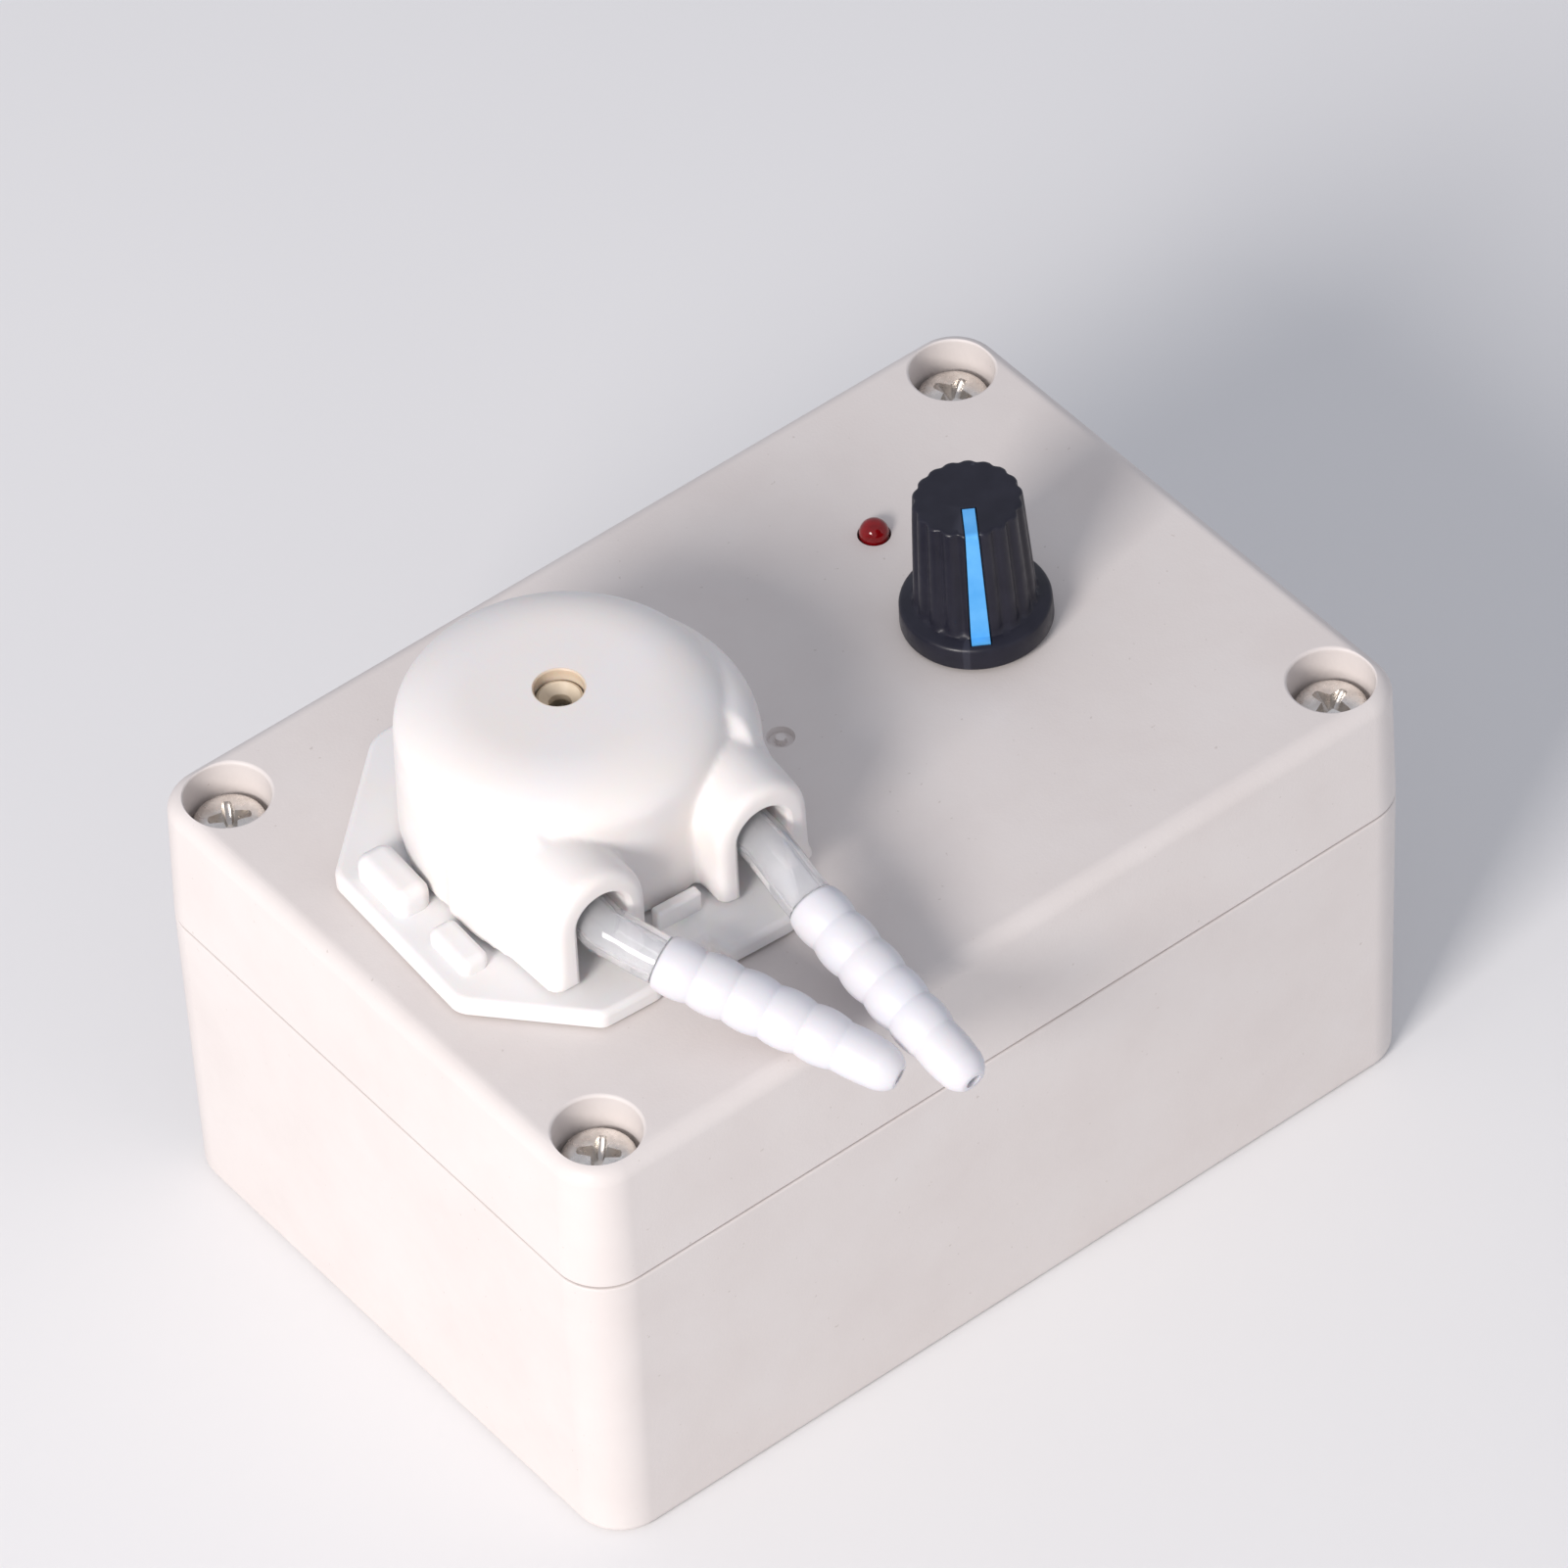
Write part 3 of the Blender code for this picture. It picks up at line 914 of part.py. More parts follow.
def make_wires():
    """Supply pair from the inlet to the board, and motor pair from the board to the motor."""
    make_wire("supply_wire_red", [(26.2, 20.4, 17.5), (26.0, 17.0, 17.0), (21.0, 15.2, 20.5),
                                  (17.4, 15.0, 28.2),
                                  (15.3, 15.0, 29.0)], WIRE_RED)
    make_wire("supply_wire_black", [(23.6, 20.4, 17.5), (23.0, 19.4, 17.4), (20.0, 19.0, 20.5),
                                    (17.4, 19.0, 28.2),
                                    (15.3, 19.0, 29.0)], WIRE_BLACK)
    make_wire("motor_wire_red", [(4.7, 11.0, 29.0), (3.4, 11.0, 28.2), (0.0, 9.5, 16.0), (-5.5, 6.0, 7.5),
                                 (-11.9, 3.05, 6.0), (-13.1, 3.0, 6.0)], MOTOR_WIRE_RED)
    make_wire("motor_wire_black", [(4.7, 7.0, 29.0), (3.4, 7.0, 28.2), (0.0, 4.0, 17.0), (-4.0, -3.0, 8.5),
                                   (-12.0, -7.0, 4.8), (-22.0, -4.0, 4.8), (-28.5, 3.0, 5.4),
                                   (-30.1, 4.1, 5.6)],
              MOTOR_WIRE_BLACK)


make_case_base()
make_case_lid()
make_gasket()
make_lid_screws()
make_head_plate()
make_head_cap()
make_cage()
make_rollers()
make_drive()
make_tube()
make_connector("connector_left", LEFT_STUB, 6.0, 13.0, 24.4, 30.5, LEFT_CONNECTOR_PLASTIC)
make_connector("connector_right", RIGHT_STUB, 7.8, 16.2, 25.6, 31.2, RIGHT_CONNECTOR_PLASTIC)
make_knob()
pointer_bar("knob_pointer", 0.0, 0.3 * MM, 0.05 * MM, POINTER_PLASTIC)
make_potentiometer()
make_lamp()
make_electronics()
make_power_inlet()
make_wires()
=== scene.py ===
"""Looks of the bench-top peristaltic pump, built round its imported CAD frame.

Lengths are metres in the frame of the CAD: X runs from the pump head to the knob, -Y is
the front, where the two hoses leave, Z is up and the floor is Z = 0.
"""
import json
import math

import bmesh
import bpy
from mathutils import Matrix, Vector

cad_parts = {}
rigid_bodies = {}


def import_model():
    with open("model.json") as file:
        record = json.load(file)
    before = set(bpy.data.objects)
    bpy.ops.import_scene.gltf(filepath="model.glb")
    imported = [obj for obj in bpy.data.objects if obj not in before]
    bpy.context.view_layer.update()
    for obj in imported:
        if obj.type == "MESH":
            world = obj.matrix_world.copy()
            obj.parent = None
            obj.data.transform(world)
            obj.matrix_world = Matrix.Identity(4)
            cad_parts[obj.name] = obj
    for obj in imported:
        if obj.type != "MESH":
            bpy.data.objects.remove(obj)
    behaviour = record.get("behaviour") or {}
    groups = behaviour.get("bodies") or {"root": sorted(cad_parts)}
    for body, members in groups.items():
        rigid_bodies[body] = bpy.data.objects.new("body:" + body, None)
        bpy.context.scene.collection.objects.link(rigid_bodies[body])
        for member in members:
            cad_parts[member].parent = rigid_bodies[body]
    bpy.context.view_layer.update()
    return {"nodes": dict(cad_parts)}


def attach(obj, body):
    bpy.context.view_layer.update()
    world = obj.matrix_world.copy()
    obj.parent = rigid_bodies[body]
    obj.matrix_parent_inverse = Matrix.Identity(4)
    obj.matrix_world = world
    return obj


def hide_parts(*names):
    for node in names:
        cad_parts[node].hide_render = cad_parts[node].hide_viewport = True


for old_object in list(bpy.data.objects):
    bpy.data.objects.remove(old_object, do_unlink=True)

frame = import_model()

MM = 0.001

# Instrument box.
BOX_X = 100.0 * MM
BOX_Y = 68.0 * MM
BOX_Z = 50.0 * MM
SEAM_Z = 35.0 * MM
BOX_CORNER = 5.2 * MM
BOX_WALL = 2.2 * MM
FOOT_ROUND = 1.0 * MM
SEAM_GAP = 0.15 * MM
SEAM_ROUND = 0.22 * MM
FLOOR_Z = 2.6 * MM
ROOF_Z = 47.5 * MM
LID_EDGE = 1.8 * MM
BASE_DRAFT = math.tan(math.radians(0.5))
LID_DRAFT = math.tan(math.radians(1.5))
SCREW_X = 44.1 * MM
SCREW_Y = 28.2 * MM
SCREW_HOLE_R = 2.25 * MM
RECESS_R = 4.2 * MM
RECESS_SEAT_Z = 44.6 * MM
CORNERS = ((1, 1), (-1, 1), (-1, -1), (1, -1))

# Pump head, in its own coordinates about the upright axis.
HEAD_X = -22.4 * MM
HEAD_Y = 3.7 * MM
HEAD_PLACE = Matrix.Translation((HEAD_X, HEAD_Y, 0.0)) @ Matrix.Rotation(math.radians(-3.5), 4, "Z")
SHAFT_HOLE_R = 3.6 * MM
MOTOR_SCREW_X = 8.0 * MM
PLATE_Z0 = 50.3 * MM
PLATE_Z1 = 52.3 * MM
CAP_Z0 = 52.6 * MM
DOME_R = 15.65 * MM
DOME_FOOT_R = 15.9 * MM
DOME_FLAT_R = 8.5 * MM
DOME_SPRING_Z = 64.6 * MM
DOME_RISE = 4.0 * MM
BULGE_R = 17.1 * MM
BULGE_X = 0.7 * MM
BULGE_Y = -1.6 * MM
BULGE_TOP = 66.0 * MM
BULGE_EDGE = 4.0 * MM
BORE_R = 14.3 * MM
BORE_TOP = 66.9 * MM
PORT_X = 9.0 * MM
PORT_FRONT = -19.5 * MM
PORT_ARCH_Z = 59.6 * MM
PORT_TOP = 65.0 * MM
SLOT_R = 2.75 * MM
MELT_VOXEL = 0.24 * MM
MELT_ROUNDS = 22

# Hose and the track it is squeezed against; the overlap is in degrees past the half circle.
TUBE_R = 2.4 * MM
TUBE_Z = 58.3 * MM
HOSE_WALL = 0.75 * MM
TRACK_R = 13.1 * MM
TRACK_OVERLAP = 3.0
SQUEEZED_HALF = 0.88 * MM
SQUEEZED_TALL = 3.2 * MM

# Knob, lamp and inlet; the knob leans a little about its foot.
KNOB_PLACE = Matrix.Translation((24.0 * MM, 0.0, 0.0))
KNOB_TOP = 66.15 * MM
SKIRT_TOP = 53.3 * MM
SKIRT_R = 7.4 * MM
KNOB_TOP_R = 5.3 * MM
KNOB_FOOT_R = 5.95 * MM
FLUTES = 18
POINTER_ANGLE = math.radians(-124.5)
POINTER_START_R = 1.55 * MM
POINTER_END_R = 6.62 * MM
KNOB_PIVOT = Vector((0.0, 0.0, 50.4 * MM))
KNOB_LEAN = (Matrix.Translation(KNOB_PIVOT) @ Matrix.Rotation(math.radians(2.0), 4, Vector((-0.6, -0.8, 0.0)))
             @ Matrix.Translation(-KNOB_PIVOT))
LAMP_R = 1.45 * MM
LAMP_PLACE = Matrix.Translation((23.9 * MM, 15.4 * MM, 0.0))
JACK_PLACE = Matrix.Translation((25.0 * MM, 0.0, 17.5 * MM))
STILL = Matrix.Identity(4)

# Camera, in millimetres, solved from the edges of the box.
SENSOR = 36.0
LENS = 251.162
AZIMUTH = math.radians(-36.6134)
ELEVATION = math.radians(45.6201)
ROLL = math.radians(-3.0669)
AIM_Z = 25.0
SIDEWAYS = -0.6103
UPWARDS = 13.0197
DISTANCE = 1048.38


# ---- materials --------------------------------------------------------------
class Look:
    """One Principled material whose colour, roughness and bump come from its nodes."""

    def __init__(self, name, colour, roughness, fixed=None):
        self.material = bpy.data.materials.new(name)
        self.material.use_nodes = True
        self.tree = self.material.node_tree
        self.shader = self.tree.nodes["Principled BSDF"]
        self.shader.inputs["Base Color"].default_value = (*colour, 1.0)
        self.shader.inputs["Roughness"].default_value = roughness
        for socket, value in (fixed or {}).items():
            self.shader.inputs[socket].default_value = value
        self.place = self.tree.nodes.new("ShaderNodeTexCoord").outputs["Object"]
        self.colour = None
        self.rough = None
        self.bump = None

    def link(self, source, target):
        self.tree.links.new(source, target)

    def stretched(self, scale):
        """Coordinates squeezed along some axes, for brushed or drawn surfaces."""
        mapping = self.tree.nodes.new("ShaderNodeMapping")
        mapping.inputs["Scale"].default_value = scale
        self.link(self.place, mapping.inputs["Vector"])
        return mapping.outputs["Vector"]

    def noise(self, size, detail=2.0, rough=0.5, where=None):
        """Cloudy noise whose patches are about this size, in metres."""
        made = self.tree.nodes.new("ShaderNodeTexNoise")
        made.inputs["Scale"].default_value = 1.0 / size
        made.inputs["Detail"].default_value = detail
        made.inputs["Roughness"].default_value = rough
        self.link(where or self.place, made.inputs["Vector"])
        return made.outputs["Fac"]

    def ramp(self, factor, stops):
        """Colour ramp over a factor."""
        made = self.tree.nodes.new("ShaderNodeValToRGB")
        made.color_ramp.elements[0].position = stops[0][0]
        made.color_ramp.elements[0].color = (*stops[0][1], 1.0)
        made.color_ramp.elements[1].position = stops[-1][0]
        made.color_ramp.elements[1].color = (*stops[-1][1], 1.0)
        for position, colour in stops[1:-1]:
            made.color_ramp.elements.new(position).color = (*colour, 1.0)
        self.link(factor, made.inputs["Fac"])
        return made.outputs["Color"]

    def span(self, factor, low, high, to_low, to_high):
        """Map a factor from one range to another, clamped."""
        made = self.tree.nodes.new("ShaderNodeMapRange")
        for socket, value in zip(("From Min", "From Max", "To Min", "To Max"), (low, high, to_low, to_high)):
            made.inputs[socket].default_value = value
        self.link(factor, made.inputs["Value"])
        return made.outputs["Result"]

    def mix(self, factor, first, second):
        """Blend two colours; either may be a fixed colour."""
        made = self.tree.nodes.new("ShaderNodeMix")
        made.data_type = "RGBA"
        self.link(factor, made.inputs[0])
        for value, socket in ((first, made.inputs[6]), (second, made.inputs[7])):
            if isinstance(value, tuple):
                socket.default_value = (*value, 1.0)
            else:
                self.link(value, socket)
        return made.outputs[2]

    def tones(self, size, stops, detail=3.0):
        """Slow change of tone over the surface."""
        self.colour = self.ramp(self.noise(size, detail), stops)
        return self

    def specks(self, size, amount, colour):
        """Sparse small spots of another colour."""
        spots = self.span(self.noise(size, 1.0), 1.0 - amount, 1.0 - amount + 0.03, 0.0, 1.0)
        self.colour = self.mix(spots, self.colour, colour)
        return self

    def wear_and_hollow_shade(self, colour, start=0.52, end=0.62, strength=1.0):
        """Lighter rubbed edges as wear; with start above end, darker hollows as painted shade."""
        point = self.tree.nodes.new("ShaderNodeNewGeometry").outputs["Pointiness"]
        edge = self.span(point, start, end, 0.0, strength)
        self.colour = self.mix(edge, self.colour, colour)
        return self

    def sheen(self, size, low, high, where=None):
        """Uneven gloss."""
        self.rough = self.span(self.noise(size, 3.0, where=where), 0.3, 0.7, low, high)
        return self

    def grain(self, size, depth, detail=2.0, where=None):
        """Fine relief of this grain size and depth, in metres; a second call adds a coarser one."""
        made = self.tree.nodes.new("ShaderNodeBump")
        made.inputs["Strength"].default_value = 1.0
        made.inputs["Distance"].default_value = depth
        self.link(self.noise(size, detail, where=where), made.inputs["Height"])
        if self.bump is not None:
            self.link(self.bump, made.inputs["Normal"])
        self.bump = made.outputs["Normal"]
        return self

    def shade_near_head_axis(self, inner, outer, colour):
        """Painted shade: another, darker colour close to the upright axis of the pump head."""
        flat = self.tree.nodes.new("ShaderNodeMapping")
        flat.inputs["Location"].default_value = (-HEAD_X, -HEAD_Y, 0.0)
        flat.inputs["Scale"].default_value = (1.0, 1.0, 0.0)
        self.link(self.place, flat.inputs["Vector"])
        length = self.tree.nodes.new("ShaderNodeVectorMath")
        length.operation = "LENGTH"
        self.link(flat.outputs["Vector"], length.inputs[0])
        close = self.span(length.outputs["Value"], inner, outer, 1.0, 0.0)
        self.colour = self.mix(close, self.colour, colour)
        return self

    def done(self):
        """Connect what was made to the shader and return the material."""
        for source, socket in ((self.colour, "Base Color"), (self.rough, "Roughness"), (self.bump, "Normal")):
            if source is not None:
                self.link(source, self.shader.inputs[socket])
        return self.material


def box_plastic(name):
    """Light warm grey ABS with a fine eroded texture."""
    made = Look(name, (0.70, 0.655, 0.635), 0.5, {"Specular IOR Level": 0.4})
    made.tones(9 * MM, ((0.3, (0.690, 0.640, 0.618)),
                        (0.5, (0.705, 0.658, 0.636)),
                        (0.7, (0.715, 0.672, 0.652))))
    made.specks(0.6 * MM, 0.225, (0.60, 0.55, 0.52))
    made.sheen(1.6 * MM, 0.42, 0.56)
    return made.grain(2.4 * MM, 0.020 * MM).grain(0.32 * MM, 0.012 * MM).done()


def white_plastic(name, colour, roughness, depth):
    """White satin moulding, slightly translucent; the caller may add to it before it is done."""
    warm = tuple(c * k for c, k in zip(colour, (1.0, 0.985, 0.965)))
    cool = tuple(c * k for c, k in zip(colour, (0.985, 0.99, 1.0)))
    made = Look(name, colour, roughness, {"Subsurface Weight": 0.12, "Subsurface Scale": 1.2 * MM})
    made.tones(7 * MM, ((0.35, warm), (0.65, cool)))
    made.sheen(1.2 * MM, roughness - 0.06, roughness + 0.08)
    return made.grain(1.8 * MM, depth * 2.0).grain(0.25 * MM, depth)


def metal(name, light, dark, roughness, stretch=(1.0, 1.0, 1.0), depth=0.003 * MM):
    """Bare or plated metal with fine drawn lines and painted shade that darkens its hollows."""
    made = Look(name, light, roughness, {"Metallic": 1.0})
    lines = made.stretched(stretch)
    made.tones(1.4 * MM, ((0.3, dark), (0.7, light)))
    # painted shade: the dark tone darkens the hollows of the metal
    made.wear_and_hollow_shade(dark, 0.5, 0.44, 0.7)
    made.sheen(0.5 * MM, roughness * 0.7, roughness * 1.4, lines)
    return made.grain(0.12 * MM, depth, where=lines).done()


def moulded(name, dark, light, roughness, depth=0.006 * MM, fixed=None):
    """Coloured plastic, rubber or lacquer with two close tones."""
    made = Look(name, light, roughness, fixed)
    made.tones(2.5 * MM, ((0.3, dark), (0.7, light)))
    made.sheen(0.8 * MM, roughness * 0.8, roughness * 1.25)
    return made.grain(0.3 * MM, depth).done()


def knob_plastic():
    """Satin blue-black knob with faintly rubbed ribs."""
    made = Look("knob_satin", (0.012, 0.012, 0.022), 0.36, {"Specular IOR Level": 0.35})
    made.tones(2.2 * MM, ((0.3, (0.009, 0.009, 0.018)), (0.7, (0.014, 0.014, 0.025))))
    made.wear_and_hollow_shade((0.040, 0.042, 0.060), 0.53, 0.62, 0.5)
    made.sheen(0.9 * MM, 0.30, 0.44)
    return made.grain(0.9 * MM, 0.008 * MM).grain(0.2 * MM, 0.003 * MM).done()


def clear_hose():
    """Clear, faintly milky silicone hose."""
    made = Look("hose_silicone", (0.97, 0.975, 0.99), 0.10,
                {"Transmission Weight": 0.78, "IOR": 1.14, "Coat Weight": 0.6, "Coat Roughness": 0.05})
    made.tones(2.0 * MM, ((0.3, (0.955, 0.96, 0.98)), (0.7, (0.985, 0.99, 1.0))))
    made.sheen(0.9 * MM, 0.06, 0.16)
    return made.grain(0.8 * MM, 0.006 * MM).done()


def lamp_red():
    """Red lamp body, unlit."""
    made = Look("lamp_red", (0.24, 0.002, 0.005), 0.10,
                {"Transmission Weight": 0.10, "IOR": 1.45, "Coat Weight": 0.12, "Coat Roughness": 0.04})
    made.tones(0.9 * MM, ((0.3, (0.19, 0.002, 0.004)), (0.7, (0.29, 0.003, 0.006))))
    made.sheen(0.5 * MM, 0.06, 0.12)
    return made.grain(0.5 * MM, 0.003 * MM).done()


def board_green():
    """Circuit board lacquer with paler copper runs below it."""
    made = Look("board_lacquer", (0.02, 0.16, 0.06), 0.35)
    made.tones(1.5 * MM, ((0.42, (0.012, 0.11, 0.04)), (0.5, (0.02, 0.17, 0.06)), (0.58, (0.04, 0.24, 0.09))))
    made.sheen(0.6 * MM, 0.28, 0.42)
    return made.grain(0.3 * MM, 0.008 * MM).done()


# ---- mesh helpers -----------------------------------------------------------
def circle(radius, z, count, x=0.0, y=0.0, start=0.0):
    """Points of a level circle."""
    step = 2.0 * math.pi / count
    return [Vector((x + radius * math.cos(start + i * step), y + radius * math.sin(start + i * step), z))
            for i in range(count)]


def turned(profile, count, x=0.0, y=0.0, start=0.0):
    """Level circles for a list of (radius, height) pairs."""
    return [circle(radius, z, count, x, y, start) for radius, z in profile]


def arc(centre_r, centre_z, radius, first, last, steps):
    """Points (r, z) of an arc from one angle to another, in degrees; 0 points outwards, 90 up."""
    points = []
    for i in range(steps + 1):
        angle = math.radians(first + (last - first) * i / steps)
        points.append((centre_r + radius * math.cos(angle), centre_z + radius * math.sin(angle)))
    return points


def rounded_rectangle(half_x, half_y, radius, z, corner_steps=12):
    """Points of a level rectangle with round corners, counter-clockwise."""
    points = []
    for quarter, (sign_x, sign_y) in enumerate(CORNERS):
        for step in range(corner_steps + 1):
            angle = math.pi / 2.0 * (quarter + step / corner_steps)
            x = sign_x * (half_x - radius) + radius * math.cos(angle)
            y = sign_y * (half_y - radius) + radius * math.sin(angle)
            points.append(Vector((x, y, z)))
    return points


def box_loop(inset, z):
    """The outline of the instrument box, moved inwards by an inset."""
    return rounded_rectangle(BOX_X / 2 - inset, BOX_Y / 2 - inset, BOX_CORNER - inset, z)


def skin(target, loops, ring=False):
    """Skin a chain of equally long loops; a ring joins the last loop to the first."""
    rows = [[target.verts.new(point) for point in loop] for loop in loops]
    count = len(rows[0])
    pairs = list(zip(rows, rows[1:]))
    if ring:
        pairs.append((rows[-1], rows[0]))
    for lower, upper in pairs:
        for i in range(count):
            j = (i + 1) % count
            target.faces.new((lower[i], lower[j], upper[j], upper[i]))
    if not ring:
        target.faces.new(list(reversed(rows[0])))
        target.faces.new(rows[-1])


def solid(name, loops, place=STILL, ring=False):
    """One closed object made from a chain of loops, with its place baked into the mesh."""
    source = bmesh.new()
    skin(source, loops, ring)
    bmesh.ops.transform(source, matrix=place, verts=source.verts)
    bmesh.ops.remove_doubles(source, verts=source.verts, dist=1e-8)
    bmesh.ops.recalc_face_normals(source, faces=source.faces)
    mesh = bpy.data.meshes.new(name)
    source.to_mesh(mesh)
    source.free()
    made = bpy.data.objects.new(name, mesh)
    bpy.context.scene.collection.objects.link(made)
    return made


def settle(target):
    """Apply the modifiers of a piece to its mesh."""
    shape = bpy.context.evaluated_depsgraph_get()
    mesh = bpy.data.meshes.new_from_object(target.evaluated_get(shape))
    target.modifiers.clear()
    target.data = mesh


def shape_with(target, tools, operation):
    """Add or remove tool solids, then delete them."""
    for tool in tools:
        change = target.modifiers.new("shape", "BOOLEAN")
        change.operation = operation
        change.solver = "EXACT"
        change.object = tool
    settle(target)
    for tool in tools:
        bpy.data.objects.remove(tool, do_unlink=True)


def cut(target, *tools):
    """Remove tool solids from the target."""
    shape_with(target, tools, "DIFFERENCE")


def join(target, *tools):
    """Add tool solids to the target."""
    shape_with(target, tools, "UNION")


def rod(radius, z0, z1, count=32, x=0.0, y=0.0, place=STILL):
    """A plain upright rod used as a tool."""
    return solid("tool", turned([(radius, z0), (radius, z1)], count, x, y), place)


def corner_rods(radius, z0, z1, count):
    """A plain rod at each of the four screw places, used as tools."""
    return [rod(radius, z0, z1, count, a * SCREW_X, b * SCREW_Y) for a, b in CORNERS]


def pillow(centre, size, edge, place, steps=5):
    """A block with rounded edges, used as a tool."""
    x, y, z = (s / 2.0 for s in size)
    turns = [math.pi / 2.0 * step / steps for step in range(steps + 1)]
    rows = [(edge * (1.0 - math.sin(t)), -z + edge * (1.0 - math.cos(t))) for t in turns]
    rows += [(edge * (1.0 - math.cos(t)), z - edge * (1.0 - math.sin(t))) for t in turns]
    loops = [rounded_rectangle(x - inset, y - inset, max(0.05 * MM, edge - inset), height, 6)
             for inset, height in rows]
    for loop in loops:
        for point in loop:
            point += centre
    return solid("tool", loops, place)


def along_y(points):
    """Turn an upright outline onto the +Y direction (z becomes y)."""
    return [Vector((p.x, p.z, -p.y)) for p in points]


def swept(path, sections):
    """Place flat (side, up) sections across a path of points that never runs upright."""
    loops = []
    last = len(path) - 1
    for i, (point, section) in enumerate(zip(path, sections)):
        ahead = path[min(i + 1, last)] - path[max(i - 1, 0)]
        side = Vector((ahead.y, -ahead.x, 0.0)).normalized()
        up = side.cross(ahead).normalized()
        loops.append([point + side * s + up * u for s, u in section])
    return loops


def ellipse(half_side, half_up, count):
    """Flat section with the given half axes."""
    return [(half_side * math.cos(2 * math.pi * i / count), half_up * math.sin(2 * math.pi * i / count))
            for i in range(count)]


def smooth_path(knots, steps):
    """Catmull-Rom curve through the knots."""
    ends = [knots[0] * 2 - knots[1]] + list(knots) + [knots[-1] * 2 - knots[-2]]
    points = []
    for i in range(1, len(ends) - 2):
        a, b, c, d = ends[i - 1], ends[i], ends[i + 1], ends[i + 2]
        for step in range(steps):
            t = step / steps
            points.append(0.5 * ((2 * b) + (c - a) * t + (2 * a - 5 * b + 4 * c - d) * t * t
                                 + (3 * b - a - 3 * c + d) * t ** 3))
    points.append(Vector(knots[-1]))
    return points


def ease(t):
    """Smooth step from 0 to 1."""
    t = max(0.0, min(1.0, t))
    return t * t * (3.0 - 2.0 * t)


def show(piece, material, body, replaces=(), angle=35.0):
    """Give a finished piece its material, shading and body, and hide the CAD nodes it stands for."""
    piece.data.materials.clear()
    piece.data.materials.append(material)
    piece.data.shade_smooth()
    piece.data.set_sharp_from_angle(angle=math.radians(angle))
    normals = piece.modifiers.new("even shading", "WEIGHTED_NORMAL")
    normals.keep_sharp = True
    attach(piece, body)
    if replaces:
        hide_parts(*replaces)
    return piece


# ---- instrument box ---------------------------------------------------------
def make_base():
    """Lower half: drafted walls, rounded foot and rim, rebate, posts and the inlet hole."""
    foot = BASE_DRAFT * SEAM_Z
    rim = SEAM_Z - SEAM_GAP
    loops = [box_loop(foot + FOOT_ROUND, 0.0)]
    for step in range(1, 7):
        angle = math.radians(15.0 * step)
        loops.append(box_loop(foot + FOOT_ROUND * (1 - math.sin(angle)), FOOT_ROUND * (1 - math.cos(angle))))
    for step in range(4):
        angle = math.radians(30.0 * step)
        loops.append(box_loop(SEAM_ROUND * (1 - math.cos(angle)), rim - SEAM_ROUND * (1 - math.sin(angle))))
    rebate_inset = 1.1 * MM
    rebate_z = rim - 0.9 * MM
    loops += [box_loop(rebate_inset, rim), box_loop(rebate_inset, rebate_z), box_loop(BOX_WALL, rebate_z),
              box_loop(BOX_WALL + 0.3 * MM, FLOOR_Z)]
    base = solid("box_lower_shell", loops)
    join(base, *corner_rods(4.2 * MM, FLOOR_Z - 0.6 * MM, rim - 1.0 * MM, 32))
    inlet = [along_y(loop) for loop in turned([(4.2 * MM, 26 * MM), (4.2 * MM, 40 * MM)], 48)]
    cut(base, *corner_rods(SCREW_HOLE_R, 22.0 * MM, SEAM_Z + 2 * MM, 24), solid("tool", inlet, JACK_PLACE))
    show(base, box_plastic("box_abs_lower"), "case", ["case_base"])


